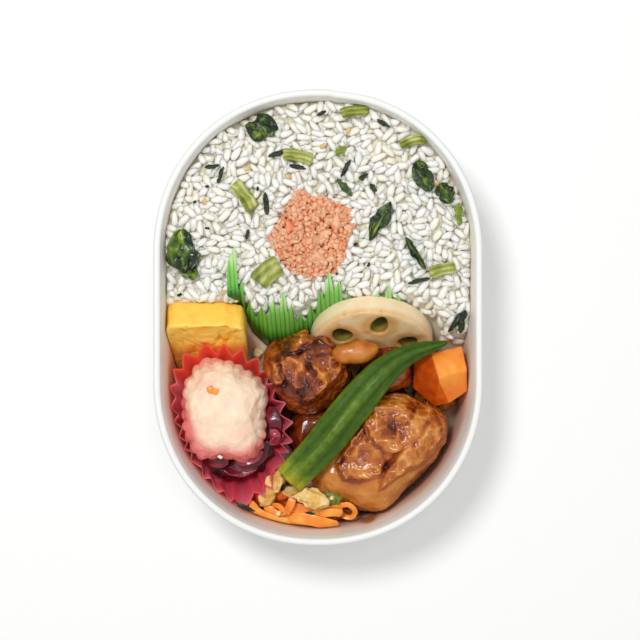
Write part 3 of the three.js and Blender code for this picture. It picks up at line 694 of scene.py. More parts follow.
def makeSalmon():
    rng = np.random.default_rng(4)
    s = salmonSizes
    cx, cy = s["at"]

    def share(x, y):
        return np.hypot(x - cx, y - cy) / radiusAt(s["radii"], np.arctan2(y - cy, x - cx))

    def goal(x, y):
        lumps = 1.9 * fractal(planPoints(x, y), 5.2, 2, 8).reshape(x.shape)
        return riceTop(x, y) + (s["height"] + lumps) * (1 - np.clip(share(x, y), 0, 1) ** 3) ** 0.7 - s["bed"]

    def flakeSize(g):
        return tuple(np.array([1, 0.75, 0.6]) * g.uniform(0.9, 1.7) ** 2 * g.uniform(0.85, 1.15, 3))

    def crumbSize(g):
        return tuple(np.array([1, 0.8, 0.7]) * g.uniform(0.5, 1.2) * g.uniform(0.85, 1.15, 3))

    parts, floor = [], lambda x, y: riceTop(x, y) - s["bed"]
    layers = [  # how many, their sizes, their fineness, how far they may stand out, and how far out they lie
        (s["flakes"], flakeSize, 3, s["over"], 0.96),
        (s["crumbs"], crumbSize, 2, s["over"] + 0.9, 1.03)]
    for count, sizes, level, over, edge in layers:
        rows, field = dropped(rng, count, s["region"], goal, floor, sizes, s["sink"], over,
                              lambda x, y, z: share(x, y) < edge)
        shapes, crumbFaces = crumbShapes(s["shapes"], level)
        for k, row in enumerate(rows):
            parts.append((placed(shapes[k % s["shapes"]], row[None])[0], crumbFaces, 0.58 + 0.1 * rng.normal()))
        floor = lambda x, y: field[2][:x.shape[0], :x.shape[1]]
    points, faces, tone = join(parts)
    # painted shade and light: flakes low in the heap are darker, those standing out paler
    depth = np.clip((points[:, 2] - goal(points[:, 0], points[:, 1]) + 0.3) / 2, -1, 0.4)
    addPiece("salmonFlakes", points, faces, looks["salmon"], ["salmon_flakes"], tone + 0.7 * depth)
    print("salmon made:", len(parts), "flakes and crumbs")


makeSalmon()


# Greens on the rice: crumpled leaf pieces and cut stems, then small slivers

greens = [
    {"at": (-53.6, 23.5), "size": (21, 11), "turn": 92, "kind": "clump"},
    {"at": (-22.3, 75), "size": (12, 10), "turn": 60, "kind": "leaf"},
    {"at": (-8, 63.5), "size": (11.5, 5), "turn": -12, "kind": "stem"},
    {"at": (-29.5, 48), "size": (12.5, 5.5), "turn": -52, "kind": "stem"},
    {"at": (-19.6, 17.5), "size": (11, 8.5), "turn": 40, "kind": "stem"},
    {"at": (14.5, 81.5), "size": (10.5, 4.5), "turn": 8, "kind": "stem"},
    {"at": (41.8, 56), "size": (13, 7), "turn": -62, "kind": "leaf"},
    {"at": (50.6, 49.3), "size": (9, 7), "turn": -60, "kind": "leaf"},
    {"at": (24.6, 38), "size": (17.5, 5), "turn": 62, "kind": "leaf"},
    {"at": (38.6, 25.4), "size": (15, 3.6), "turn": -58, "kind": "leaf"},
    {"at": (49.6, 18.6), "size": (10, 5), "turn": 14, "kind": "stem"},
    {"at": (38, 69.6), "size": (9.5, 4), "turn": 14, "kind": "stem"},
]
slivers = [  # x, y, length, width, turn, tone of dark slivers of leaf
    (-16, 65, 8, 2, 20, 0.2), (-42, 60, 6, 1.6, 10, 0.35), (-38.6, 56.5, 7, 1.7, 70, 0.3),
    (-20.5, 45, 9, 2.2, 95, 0.15), (-28, 33, 4, 1.6, 80, 0.2), (-8, 59.6, 7, 1.6, -14, 0.1),
    (1.5, 81, 4, 1.6, 30, 0.2), (26, 77, 6, 2, -30, 0.25), (9, 66, 5, 3, 40, 0.9), (11, 59, 8, 1.8, 62, 0.25),
    (10.5, 51.5, 9, 2.6, -48, 0.6), (18, 56, 4, 2, 30, 0.3), (22, 51.5, 4, 1.8, -50, 0.4),
    (56, 41, 9, 3.4, 88, 0.95), (40, 14.5, 9, 1.8, 14, 0.3), (55.5, -1.5, 11, 3.6, 52, 0.15),
    (57.5, -3.5, 6, 2.4, 80, 0.3), (-44, 35.5, 2, 1, 0, 0), (-49, 46, 1.6, 1, 40, 0), (-44, 52, 1.6, 1, 10, 0),
    (-24, 51, 1.8, 1, 80, 0), (15, 29, 2, 1, 20, 0.1), (20, 21, 2, 1.2, 70, 0.1), (-55, 9, 2.2, 1.2, 20, 0.1),
]


def leafPiece(at, size, turn, seed, curl=1.6, lift=0.8):
    # a crumpled blade with a mid rib, both sides closed
    columns, rows = 30, 18
    u, v = np.meshgrid(np.linspace(-1, 1, columns), np.linspace(-1, 1, rows), indexing="ij")
    flat = np.stack([u.ravel(), v.ravel(), 0 * u.ravel() + seed], axis=1)
    breadth = np.clip(1 - np.abs(u) ** 2.4, 0.04, 1) ** 0.6 * (1 + 0.5 * fractal(flat, 0.6, 2, seed).reshape(u.shape))
    a = math.radians(turn)
    length, width = size[0] / 2, size[1] / 2
    px, py = turned(u * length, v * width * breadth, a, at)
    folds = curl * fractal(flat * [1, 1.6, 1], 0.55, 2, seed + 9).reshape(u.shape)
    z = np.abs(folds) * 1.3 - 0.7 * np.abs(v) * breadth + 0.3 * np.exp(-(v * 6) ** 2)
    ground = np.array([restHeight(p, q) for p, q in zip(px.ravel(), py.ravel())]).reshape(px.shape)
    ground = mix(ground, ground.mean(), 0.5)
    top = np.stack([px, py, ground + lift + z + 0.2], axis=2).reshape(-1, 3)
    low = top - [0, 0, 0.45]
    tone = 0.35 + 0.35 * np.clip(folds, -1, 1).ravel() + 0.25 * np.exp(-(v.ravel() * 7) ** 2)
    return np.vstack([top, low]), sheetFaces(columns, rows, flipped=True), np.concatenate([tone, tone])


def stemPiece(at, size, turn, seed, height=2.6, bend=0.1):
    # a cut length of flat stalk with ribs along it, pale on the ribs and dark between them
    a = math.radians(turn)
    length, steps = size[0] / 2, 26
    controls = []
    for t in (-1, -0.4, 0.3, 1):
        px, py = turned(t * length, bend * length * (1 - t * t), a, at)
        controls.append((px, py, restHeight(px, py) + 0.3 * height))
    angle = np.linspace(0, tau, 48, endpoint=False)[None]
    across = signedPower(np.cos(angle), 0.75)
    rib = np.cos(across * 1.25 * math.pi + 0.3 * seed) ** 2

    def section(t):
        end = 0.8 + 0.2 * smooth(np.minimum(t, 1 - t), -0.01, 0.05)
        up = signedPower(np.sin(angle), 0.7) * (0.75 + 0.4 * rib)
        return across * size[1] / 2 * end, up * height / 2 * end

    points, faces = sweep(controls, steps, section)
    points = points + 0.3 * valueNoise(points, 2.5, seed)[:, None]
    tone = 0.38 + 0.32 * np.append(np.tile(rib[0], steps), [0.6, 0.6]) + 0.3 * fractal(points, 4, 2, seed + 2)
    return points, faces, tone


def makeGreens():
    for k, green in enumerate(greens):
        node, look = f"greens_{k + 1}", looks["leaf"]
        if green["kind"] == "stem":
            points, faces, tone = stemPiece(green["at"], green["size"], green["turn"], k)
            look = looks["stem"]
        elif green["kind"] == "leaf":
            points, faces, tone = leafPiece(green["at"], green["size"], green["turn"], k)
        else:  # a thick clump at the wall: two leaves over each other, paler at its near end
            x, y = green["at"]
            parts = [leafPiece((x, y + 3), (17, 11), green["turn"], 31, 2.2, 1.2),
                     leafPiece((x + 1, y - 3), (13, 10), green["turn"] + 30, 33, 2, 0.4)]
            points, faces, tone = join(parts)
            tone = tone + 0.3 * (1 - smooth(points[:, 1], y - 9, y - 5)) + 0.25 * smooth(points[:, 1], y + 5, y + 9)
        addPiece(f"green{k + 1}", keepInside(points, 0.3), faces, look, [node], tone)
    parts = []
    for k, (x, y, length, width, turn, tone) in enumerate(slivers):
        p, f, t = leafPiece((x, y), (length, width), turn, 50 + k, 0.5, 0.35)
        parts.append((p, f, tone + 0.3 * (t - 0.5)))
    points, faces, tone = join(parts)
    addPiece("leafSlivers", keepInside(points, 0.3), faces, looks["leaf"], (), tone)
    print("greens made:", len(greens), "pieces and", len(slivers), "slivers")


makeGreens()

# x, y and turn of each sesame seed
seeds = [(-28, 59, 10), (-45, 46, 80), (2, 68, 40), (47, 53.5, 120), (-37.5, 10, 30), (12, 74, 60), (-12, 56, 150)]


def makeSeeds():
    points, faces = ball(3)
    shape = points * [1.5, 0.95, 0.45]
    shape[:, 1] *= 0.95 - 0.32 * points[:, 0]
    parts = []
    for x, y, turn in seeds:
        px, py = turned(shape[:, 0], shape[:, 1], math.radians(turn), (x, y))
        parts.append((np.stack([px, py, restHeight(x, y) + 0.35 + shape[:, 2]], axis=1), faces, 0.5))
    points, faces, tone = join(parts)
    addPiece("sesameSeeds", points, faces, looks["seed"], (), tone + 0.2 * valueNoise(points, 1.2, 3))


makeSeeds()


# Grass sheet: a plan outline laid on the rice's near slope

grassSizes = {
    "thickness": 0.3, "valley": 4.4, "columns": 20, "rows": 30, "lift": 2.1,
    "fold": 0.35, "foldPitch": 3.6, "crease": 0.2,
}


def makeGrass():
    g = grassSizes
    tips = np.array(toothTips, float)
    tipX = tips[:, 0]
    valleys = np.concatenate([[tipX[0] - 3], (tipX[1:] + tipX[:-1]) / 2, [tipX[-1] + 2]])
    lowest = np.minimum(tips[1:, 1], tips[:-1, 1]) - g["valley"]
    beside = np.concatenate([[tips[0, 1] - 8], lowest, [tips[-1, 1] - 4]])
    columns = []
    for k in range(len(tips)):
        for side in (0, 1):
            edge = valleys[k + side]
            shares = np.linspace(0, 1, g["columns"] // 2, endpoint=False)
            shares = shares if side == 0 else 1 - shares
            low = max(beside[k + side], lineValue(sheetLine, edge) + 4)
            for s in shares:
                columns.append((mix(edge, tipX[k], s), mix(low, tips[k, 1], s)))
    columns = np.array(columns)
    x = columns[:, 0][:, None]
    foot = lineValue(sheetLine, columns[:, 0])[:, None]
    v = mix(foot, columns[:, 1][:, None], np.linspace(0, 1, g["rows"])[None])
    px = np.repeat(x, g["rows"], 1)
    fan = (px + 0.06 * (v - foot)) / g["foldPitch"]
    fold = np.abs(np.mod(fan, 1) * 2 - 1)
    crease = bell((0.5 - np.abs(np.mod(2 * fan, 1) - 0.5)) * g["foldPitch"] / 2, g["crease"])
    tucked = 1 - smooth(v - foot, 0, 4)
    z = riceTop(px, v, 5) + mix(g["lift"], -2, tucked) + g["fold"] * fold + 1.2 * smooth(v - foot, 7, 18)
    top = np.stack([px, v, z], axis=2).reshape(-1, 3)
    low = top - [0, 0, g["thickness"]]
    # painted light and shade: darker at the foot and paler up to the tips, darker in the creases, a little paler on
    # the raised folds
    height = smooth(v - foot, 2, 9) * 0.62 + smooth(v - foot, 9, 20) * 0.38
    tone = (0.16 + 0.84 * height - 0.34 * crease + 0.08 * fold).ravel()
    addPiece("grassSheet", np.vstack([top, low]), sheetFaces(len(columns), g["rows"]), looks["grass"],
             ["grass_divider"], np.concatenate([tone, tone]))
    print("grass sheet made")


makeGrass()


# Slices that lean back on the rice

def leaned(points, height, lean, back):
    # a slice drawn flat with its foot at y = 0 is turned up about X, and moved so that
    # its back top edge is at back
    a = math.radians(lean)
    x, y, z = points[:, 0], points[:, 1] - height, points[:, 2]
    return np.stack([x + back[0], y * math.cos(a) - z * math.sin(a) + back[1],
                     y * math.sin(a) + z * math.cos(a) + back[2]], axis=1)


def slab(outline, depth, edge, rings=14, steps=5):
    # a thick slice of an outline round the origin, with rounded edges and rings of points over both faces
    reach = np.linalg.norm(outline, axis=1)[:, None]
    shares = [k / rings for k in range(1, rings)]
    rounding = [(edge * (1 - math.sin(a)), edge * (1 - math.cos(a))) for a in np.linspace(0, math.pi / 2, steps)]

    def loop(inset, z, share=1):
        return np.column_stack([outline * (1 - inset / reach) * share, np.full(len(outline), z)])

    loops = [loop(edge, 0, share) for share in shares] + [loop(inset, z) for inset, z in rounding]
    loops += [loop(0, z) for z in np.linspace(edge, depth - edge, 8)[1:-1]]
    loops += [loop(inset, depth - z) for inset, z in reversed(rounding)]
    return skin(loops + [loop(edge, depth, share) for share in reversed(shares)])


omeletteSizes = {
    "width": 32, "height": 42.5, "thickness": 11.2, "edge": 1.1, "squareness": 6,
    "lean": 62, "back": (-44.9, 6.6, 39.4), "turns": 3.2, "groove": 0.5,
}


def makeOmelette():
    o = omeletteSizes
    a = np.linspace(0, tau, 180, endpoint=False)
    x = signedPower(np.cos(a), 2 / o["squareness"]) * o["width"] / 2
    y = signedPower(np.sin(a), 2 / o["squareness"]) * o["height"] / 2
    y = y + 0.9 * np.cos(a * 2 + 0.5) * (np.sin(a) > 0)
    y = y + 0.45 * valueNoise(planPoints(x, y), 5, 8)
    points, faces = slab(np.stack([x, y], axis=1), o["thickness"], o["edge"])
    u, v, w = (points / [o["width"] / 2, o["height"] / 2, o["thickness"]]).T
    radius = (np.abs(u) ** 3 + np.abs(v) ** 3) ** (1 / 3)
    wind = radius * o["turns"] - np.arctan2(v, u) / tau + 0.12 * valueNoise(points, 9, 5)
    line = bell(np.mod(wind, 1) - 0.5, 0.07) * (radius < 0.93)
    face = smooth(w, 0.8, 0.98)
    normals = normalsOf(points, faces)
    if normals[np.argmax(points[:, 2]), 2] < 0:
        normals = -normals
    bumps = 0.3 * fractal(points, 6, 3, 4) + 0.22 * fractal(points, 1.8, 2, 14) * (1 - 0.5 * face)
    bumps = bumps - o["groove"] * line * face
    pits = smooth(valueNoise(points, 3.2, 9), 0.45, 0.8) + 0.7 * smooth(valueNoise(points, 1.7, 19), 0.5, 0.8)
    pits = pits * face
    points = points + normals * (bumps - 0.7 * pits)[:, None]
    # the pits are also painted darker, as shade in them
    tone = 0.72 + 0.1 * face - 0.18 * line * face - 0.36 * pits + 0.06 * valueNoise(points, 6, 1)
    points[:, 1] += o["height"] / 2
    points = keepInside(leaned(points, o["height"], o["lean"], o["back"]), 0.5)
    addPiece("rolledOmelette", points, faces, looks["egg"], ["rolled_omelette"], tone)
    print("omelette made")


makeOmelette()

lotusSizes = {
    "radius": 25, "thickness": 9.2, "bevel": 0.8, "lean": 52, "back": (21.6, 8.9, 42.2), "voxel": 0.6,
    "firstHole": 80, "holes": 6, "rings": [16.8, 15.6, 15.4, 15, 15.4, 15.6],
    "holeSizes": [(6, 4.3), (5.2, 4.8), (5.4, 4), (5, 3.6), (5.4, 4), (4.8, 4.4)], "middleHole": (2.6, 2.2),
}


def makeLotus():
    l = lotusSizes
    curve = bpy.data.curves.new("lotusOutline", "CURVE")
    curve.dimensions, curve.fill_mode = "2D", "BOTH"
    curve.extrude, curve.bevel_depth, curve.bevel_resolution = l["thickness"] / 2 - l["bevel"], l["bevel"], 3

    def ring(cx, cy, rx, ry, turn, steps, wave, seed):
        t = np.linspace(0, tau, steps, endpoint=False)
        r = 1 + wave * np.cos(3 * t + seed) + 0.6 * wave * np.cos(2 * t + 2 * seed)
        px, py = turned(np.cos(t) * rx * r, np.sin(t) * ry * r, turn, (cx, cy))
        spline = curve.splines.new("POLY")
        spline.points.add(steps - 1)
        for point, a, b in zip(spline.points, px, py):
            point.co = (a, b, 0, 1)
        spline.use_cyclic_u = True

    ring(0, 0, l["radius"] - l["bevel"], l["radius"] - l["bevel"], 0, 160, 0.006, 1)
    centres = []
    for k in range(l["holes"]):
        a = math.radians(l["firstHole"]) + k * tau / l["holes"]
        centres.append((math.cos(a) * l["rings"][k], math.sin(a) * l["rings"][k]))
        ring(*centres[-1], *l["holeSizes"][k], a, 40, 0.05, k)
    ring(0, 0, *l["middleHole"], 0, 24, 0.05, 5)
    holder = bpy.data.objects.new("lotusOutline", curve)
    bpy.context.scene.collection.objects.link(holder)
    flat = bpy.data.meshes.new_from_object(holder.evaluated_get(bpy.context.evaluated_depsgraph_get()))
    bm = bmesh.new()
    bm.from_mesh(flat)
    bmesh.ops.remove_doubles(bm, verts=bm.verts, dist=1e-4)
    points, faces = takenFrom(bm)
    bpy.data.objects.remove(holder)
    points, faces = remeshed(points, faces, l["voxel"])
    nearest = np.min([np.hypot(points[:, 0] - x, points[:, 1] - y) for x, y in centres + [(0, 0)]], axis=0)
    rim = np.hypot(points[:, 0], points[:, 1])
    stain = bell((nearest - 5.5).clip(0), 2.2) * (rim < l["radius"] - 1)
    front = smooth(points[:, 2], 0.5, 4)
    inHole = (nearest < 5.6) * (1 - smooth(points[:, 2], 3, 4.3))
    speck = smooth(fractal(points, 2.4, 2, 8), 0.5, 1) * front * smooth(rim, 14, 22)
    tone = 0.88 - 0.14 * front - 0.26 * stain * (0.4 + 0.6 * front) - 0.16 * speck
    tone = tone - inHole * (0.46 + 0.22 * (1 - smooth(points[:, 2], -1, 2.4)))  # painted shade and green reflection: darker and more olive down each hole
    tone = tone + 0.05 * fractal(points, 5, 2, 3) - 0.1 * smooth(rim, 23.6, 24.4) * front
    points = points + 0.12 * fractal(points, 3, 2, 6)[:, None] * [0, 0, 1]
    points = points + [0, l["radius"], l["thickness"] / 2]
    points = keepInside(leaned(points, 2 * l["radius"], l["lean"], l["back"]), 0.4)
    addPiece("lotusSlice", points, faces, looks["lotus"], ["lotus_root"], tone)
    print("lotus slice made:", len(points), "points")


makeLotus()


# Okra pod: five ridges along a gentle bend

okraSizes = {
    "line": [(-11.6, -64.6, 39.2), (1, -51.5, 40.6), (13, -36.4, 41.2), (25, -22.6, 41.2), (36, -14.8, 40.8),
             (51.4, -9.8, 40)],
    "girth": 6.7, "ridge": 0.085, "ridges": 5, "ridgeTurn": 0.35, "steps": 110, "sides": 80,
}
okraGirth = [
    (0, 0.9), (0.06, 0.93), (0.3, 1.05), (0.5, 1.02), (0.66, 0.86), (0.8, 0.6), (0.9, 0.4), (0.96, 0.26),
    (1, 0.1),
]


def makeOkra():
    o = okraSizes
    a = np.linspace(0, tau, o["sides"], endpoint=False)[None]
    around = np.abs(np.cos(o["ridges"] / 2 * (a - o["ridgeTurn"]))) ** 1.6

    def section(t):
        r = o["girth"] * lineValue(okraGirth, t)
        r = r * (1 - o["ridge"] + 2 * o["ridge"] * around)
        return np.cos(a) * r, np.sin(a) * r

    points, faces = sweep(o["line"], o["steps"], section)
    t = np.repeat(np.linspace(0, 1, o["steps"]), o["sides"])
    crest = np.tile(around[0], o["steps"])
    t, crest = np.append(t, [0, 1]), np.append(crest, [0.5, 0.5])
    streak = valueNoise(np.stack([t * 3, crest * 6, 0 * t], axis=1), 0.5, 2)
    # painted highlight: the ridges are paler
    tone = 0.42 + 0.16 * crest + 0.1 * streak + 0.42 * bell(t, 0.07) - 0.08 * smooth(t, 0.5, 0.9)
    points = points + 0.14 * fractal(points, 5, 2, 1)[:, None]
    addPiece("okraPod", points, faces, looks["okra"], ["okra"], tone)
    print("okra made")


makeOkra()
okraPath = curveThrough(okraSizes["line"], 60)


def clearOfOkra(points, gap=0.2):
    # pushes points out of the pod, so that it lies in a groove
    share = np.linspace(0, 1, len(okraPath))
    reach = okraSizes["girth"] * 1.06 * lineValue(okraGirth, share) + gap
    away = points[:, None] - okraPath[None]
    distance = np.linalg.norm(away, axis=2)
    k = np.argmin(distance - reach[None], axis=1)
    rows = np.arange(len(points))
    d, r = distance[rows, k], reach[k]
    push = np.where(d < r, (r - d) / (d + 1e-9), 0)
    return points + away[rows, k] * push[:, None]


# Rounded food: a lump from plan radii round its centre, roughened in layers

lumpSizes = {
    "chicken_right": {
        "at": (24.4, -54), "high": 41,
        "radii": [25.5, 30, 25.5, 23.5, 19, 20, 25, 29.5, 26, 25, 20, 20.5]},
    "chicken_left": {
        "at": (-4, -22.4), "high": 42.5,
        "radii": [17.5, 17, 17.6, 17.8, 17.5, 19, 17.5, 15.5, 16, 17.5, 16.5, 16.5]},
    "chicken_back": {
        "at": (29, -20.5), "high": 35,
        "radii": [11, 11, 12, 11, 11, 11, 11, 11, 11, 11, 11, 11]},
    "chicken_under": {
        "at": (-1, -46), "high": 29,
        "radii": [12, 12, 13, 13, 12, 11.5, 11, 11, 13, 16, 14, 12]},
    "mushroom_glazed": {
        "at": (14.4, -13.8), "low": 33.4, "high": 42.6, "turn": 8, "full": 0.8,
        "radii": [9.9, 7.2, 5.3, 4.8, 5.2, 7.2, 9.4, 7.2, 5.2, 4.7, 5.2, 7.4]},
    "mushroom_slice": {
        "at": (48.6, -30.4), "high": 17.6,
        "radii": [9.6, 9, 9.5, 9, 8.6, 8.6, 9, 9.4, 9.6, 9.6, 9.6, 10]},
    "tofu_strip_left": {
        "at": (-18.9, -69.2), "turn": 68, "low": 20.5, "high": 30.5, "full": 0.5,
        "radii": [8, 6.9, 4.3, 3.6, 4.1, 6.4, 8, 6.6, 4.4, 3.7, 4.3, 7]},
    "tofu_strip_right": {
        "at": (-4.6, -71.4), "turn": -24, "low": 35, "high": 39.2, "full": 0.42,
        "radii": [9, 6.4, 3.9, 3.1, 3.7, 6.2, 9.2, 5.8, 3.5, 3, 3.8, 6.6]},
    "green_stem": {
        "at": (5.6, -72), "turn": -30, "low": 27.5, "high": 33.5,
        "radii": [4.2, 4.4, 4, 3.2, 3.2, 4, 4.2, 4.2, 3.8, 3.2, 3.4, 4]},
    "potato_salad": {
        "at": (-37.3, -38), "low": 8, "high": 45.4, "full": 0.42,
        "radii": [15.8, 19.8, 19.2, 20.2, 21.6, 19, 17, 18.4, 21.4, 18.4, 22, 18.6]},
}


def lump(at, radii, high, low=3.4, turn=0, full=0.62, level=6):
    unit, faces = ball(level)
    angle = np.arctan2(unit[:, 1], unit[:, 0])
    flat = np.hypot(unit[:, 0], unit[:, 1])
    reach = radiusAt(radii, angle - math.radians(turn)) * flat ** full
    middle = mix(low, high, 0.42)
    rise = np.where(unit[:, 2] < 0, middle - low, high - middle) * signedPower(unit[:, 2], 0.8)
    points = np.stack([at[0] + np.cos(angle) * reach, at[1] + np.sin(angle) * reach, middle + rise], axis=1)
    return points, faces


def roughened(points, faces, layers):
    # layers are (kind, size, depth, seed); returns the points and the relief, about -1 to 1
    normals = normalsOf(points, faces)
    outward = np.sign((normals * (points - points.mean(0))).sum())
    relief = np.zeros(len(points))
    for kind, size, depth, seed in layers:
        value = ridges(points, size, seed) * 2 - 1 if kind == "ridge" else fractal(points, size, 2, seed)
        relief += depth * value
    strength = sum(layer[2] for layer in layers)
    return points + normals * (outward * relief)[:, None], relief / strength


def clearOfLotus(points, gap=0.3):
    # keeps food in front of the lotus slice's near face
    l = lotusSizes
    a = math.radians(l["lean"])
    normal = np.array([0, -math.sin(a), math.cos(a)])
    face = np.array(l["back"]) + normal * (l["thickness"] + gap)
    depth = (points - face) @ normal
    beside = np.abs(points[:, 0] - l["back"][0]) < l["radius"] + 0.5
    return points - normal * (np.where(beside, np.minimum(depth, 0), 0) * smooth(points[:, 0], -6, -1))[:, None]


def groove(points, start, end, depth, width):
    # lowers the points along a line in plan
    a, b = np.array(start, float), np.array(end, float)
    t = np.clip(((points[:, :2] - a) @ (b - a)) / ((b - a) @ (b - a)), 0, 1)
    d = np.linalg.norm(points[:, :2] - (a + t[:, None] * (b - a)), axis=1)
    dent = bell(d, width) * smooth(points[:, 2], 12, 26)
    return points - [0, 0, depth] * dent[:, None], dent


def insideOf(points, outline):
    # distance in plan to a closed outline, positive inside it
    q = np.array(outline, float)
    edge = np.roll(q, -1, axis=0) - q
    p = points[:, None, :2]
    t = np.clip(((p - q) * edge).sum(2) / (edge ** 2).sum(1), 0, 1)
    distance = np.linalg.norm(p - q - t[..., None] * edge, axis=2).min(1)
    y = p[..., 1]
    crosses = (q[:, 1] > y) != (q[:, 1] + edge[:, 1] > y)
    x = q[:, 0] + (y - q[:, 1]) * edge[:, 0] / np.where(edge[:, 1] == 0, 1, edge[:, 1])
    inside = (crosses & (p[..., 0] < x)).sum(1) % 2 == 1
    return np.where(inside, distance, -distance)


# tone of the flesh; skins as outline, thickness and wrinkle depth; hollows, folds and patches
chickenLooks = {
    "chicken_right": {
        "level": 7, "tone": 0.76,
        "layers": [("soft", 16, 1.5, 3), ("soft", 5, 0.45, 5), ("soft", 2, 0.14, 6), ("soft", 1, 0.05, 7)],
        "skins": [
            ([(24.9, -29.5), (34.9, -28.7), (40.9, -32.7), (46.9, -35.9), (52, -40.7), (51.5, -46.7),
              (45.5, -54.8), (40.9, -59.2), (34.9, -60.8), (28.9, -65.6), (24.5, -69.2), (26.5, -62.4),
              (30.5, -56.8), (34, -52.6), (28.9, -54), (24.9, -52.8), (20, -48), (18, -40)], 1.9, 1),
            ([(18, -42), (21, -49), (25, -53.6), (27, -57), (25, -62), (21, -64), (16, -65.4), (10.8, -64.8),
              (8, -60), (11, -52)],
             1.1, 0.8)],
        "hollows": [(29.7, -43.4, 4.2, 3, 0.42), (37, -37, 2.6, 0.8, 0.3), (26, -59, 3, 0.8, 0.1),
                    (33, -49.5, 2, 0.8, 0.2)],
        "folds": [((34.6, -51.5), (27, -60), 1.6, 1.3), ((47, -38), (50, -45), 0.8, 0.8),
                  ((18, -46), (9, -58), 0.9, 0.9), ((44, -42), (38, -52), 1, 0.9),
                  ((40, -35), (35.5, -42), 0.8, 0.8)],
        "patches": [(25, -73, 8, 0.06), (36, -58, 5, 0.08), (12, -66, 4, -0.14)],
    },
    "chicken_left": {
        "level": 7, "tone": 0.5,
        "layers": [("soft", 12, 1.3, 13), ("soft", 4.5, 0.7, 15), ("soft", 2, 0.26, 16), ("soft", 1, 0.08, 17)],
        "skins": [
            ([(-16, -10), (-10, -4), (-3, -4), (4, -6), (9, -9), (6, -12), (0, -9), (-6, -13), (-13, -15)], 1.3, 0.7),
            ([(-19, -18), (-13, -14), (-8, -16), (-5, -13.5), (-3.5, -19), (-6, -22), (-4.5, -27), (-9, -29.4),
              (-12, -25.5), (-17, -27), (-18.5, -22)], 0.5, 0.9),
            ([(-4, -17), (3, -14.5), (12, -15.5), (13, -19), (6, -26), (-1, -33), (-6, -34), (-4, -27),
              (-1, -22)],
             0.9, 0.8)],
        "hollows": [(0, -11.4, 3, 1.2, 0.25), (-12.6, -11, 2.6, 1, 0.12), (-13.5, -28.5, 3.4, 1.2, 0.3),
                    (-7, -31, 2.4, 0.9, 0.25)],
        "folds": [((-5, -18), (1, -26), 1.3, 0.9), ((-16, -17), (-13, -27), 1.1, 0.9),
                  ((-5, -10), (-8, -14), 0.8, 0.8)],
        "patches": [(-10, -21, 4.6, 0.16), (-7, -8, 3.4, 0.2), (4, -21, 4.5, 0.2), (-12, -35.5, 3.4, 0.06)],
    },
    "chicken_back": {"level": 5, "tone": 0.4, "layers": [("soft", 8, 1.2, 23), ("ridge", 3, 0.5, 25)],
                     "skins": [], "hollows": [], "folds": [], "patches": [(33, -25, 3, 0.15)]},
    "chicken_under": {"level": 5, "tone": 0.3, "layers": [("soft", 8, 1.2, 33), ("ridge", 3, 0.5, 35)],
                      "skins": [], "hollows": [], "folds": [], "patches": []},
}


def makeChicken(name):
    c = chickenLooks[name]
    points, faces = lump(**lumpSizes[name], level=c["level"])
    points, relief = roughened(points, faces, c["layers"])
    # painted light and shade: raised relief paler, low relief darker
    shade = c["tone"] + 0.14 * relief
    for k, (outline, thickness, depth) in enumerate(c["skins"]):
        inner = insideOf(points, outline) + 0.8 * valueNoise(points, 2.6, 60 + k)
        inner = np.where(points[:, 2] > 14, inner, -9)
        cover = smooth(inner, -0.3, 0.7)
        wrinkle = ridges(points * [1, 1, 0.5], 4.2, 70 + k) + 0.55 * ridges(points, 2, 80 + k)
        wrinkle = wrinkle + 0.25 * ridges(points, 1.1, 90 + k)
        curl = 0.5 * bell(inner - 1, 0.8)
        points = points + [0, 0, 1] * (cover * (thickness + depth * (wrinkle - 0.6) + curl))[:, None]
        # the skin is browner; painted highlights on its wrinkle ridges and painted shade in their folds; painted
        # shadow, partly sauce, just outside its edge
        shade = shade - 0.14 * cover + 0.32 * cover * (wrinkle - 0.5) - 0.26 * bell(inner + 0.6, 0.7)
    for start, end, depth, width in c["folds"]:
        points, dent = groove(points, start, end, depth, width)
        # painted shade in each groove
        shade = shade - 0.26 * dent
    for x, y, radius, depth, dark in c["hollows"]:
        dent = bell(np.hypot(points[:, 0] - x, points[:, 1] - y), radius) * smooth(points[:, 2], 12, 26)
        points = points - [0, 0, depth] * dent[:, None]
        # painted shade, partly pooled sauce, in each hollow
        shade = shade - dark * dent
    for x, y, radius, amount in c["patches"]:
        shade = shade + amount * np.exp(-((points[:, 0] - x) ** 2 + (points[:, 1] - y) ** 2) / radius ** 2)
    # painted shade: darker low down between the pieces
    shade = shade - 0.2 * (1 - smooth(points[:, 2], 10, 30))
    points = keepInside(clearOfLotus(clearOfOkra(points)), 0.6)
    addPiece(name.replace("_", "") + "Meat", points, faces, looks["chicken"], [name], shade)


for name in chickenLooks:
    makeChicken(name)
print("chicken made")


smallLumps = [  # node, name of the piece, look, tone, spread of the tone, layers of roughness
    ("mushroom_glazed", "glazedMushroomPiece", "mushroom", 0.66, 0.15, [("soft", 7, 0.5, 2)]),
    ("mushroom_slice", "mushroomCrescent", "mushroom", 0.72, 0.35, [("soft", 7, 0.6, 2), ("ridge", 3, 0.4, 3)]),
    ("tofu_strip_left", "tofuStripLeft", "tofu", 0.62, 0.35,
     [("soft", 5, 0.8, 2), ("ridge", 4, 0.9, 9), ("ridge", 2.2, 0.35, 3)]),
    ("tofu_strip_right", "tofuStripRight", "tofu", 0.7, 0.35,
     [("soft", 5, 0.7, 6), ("ridge", 4, 0.8, 12), ("ridge", 2.2, 0.3, 7)]),
    ("green_stem", "greenStemPiece", "stem", 0.35, 0.35, [("soft", 3, 0.3, 2), ("ridge", 1.5, 0.2, 3)]),
]


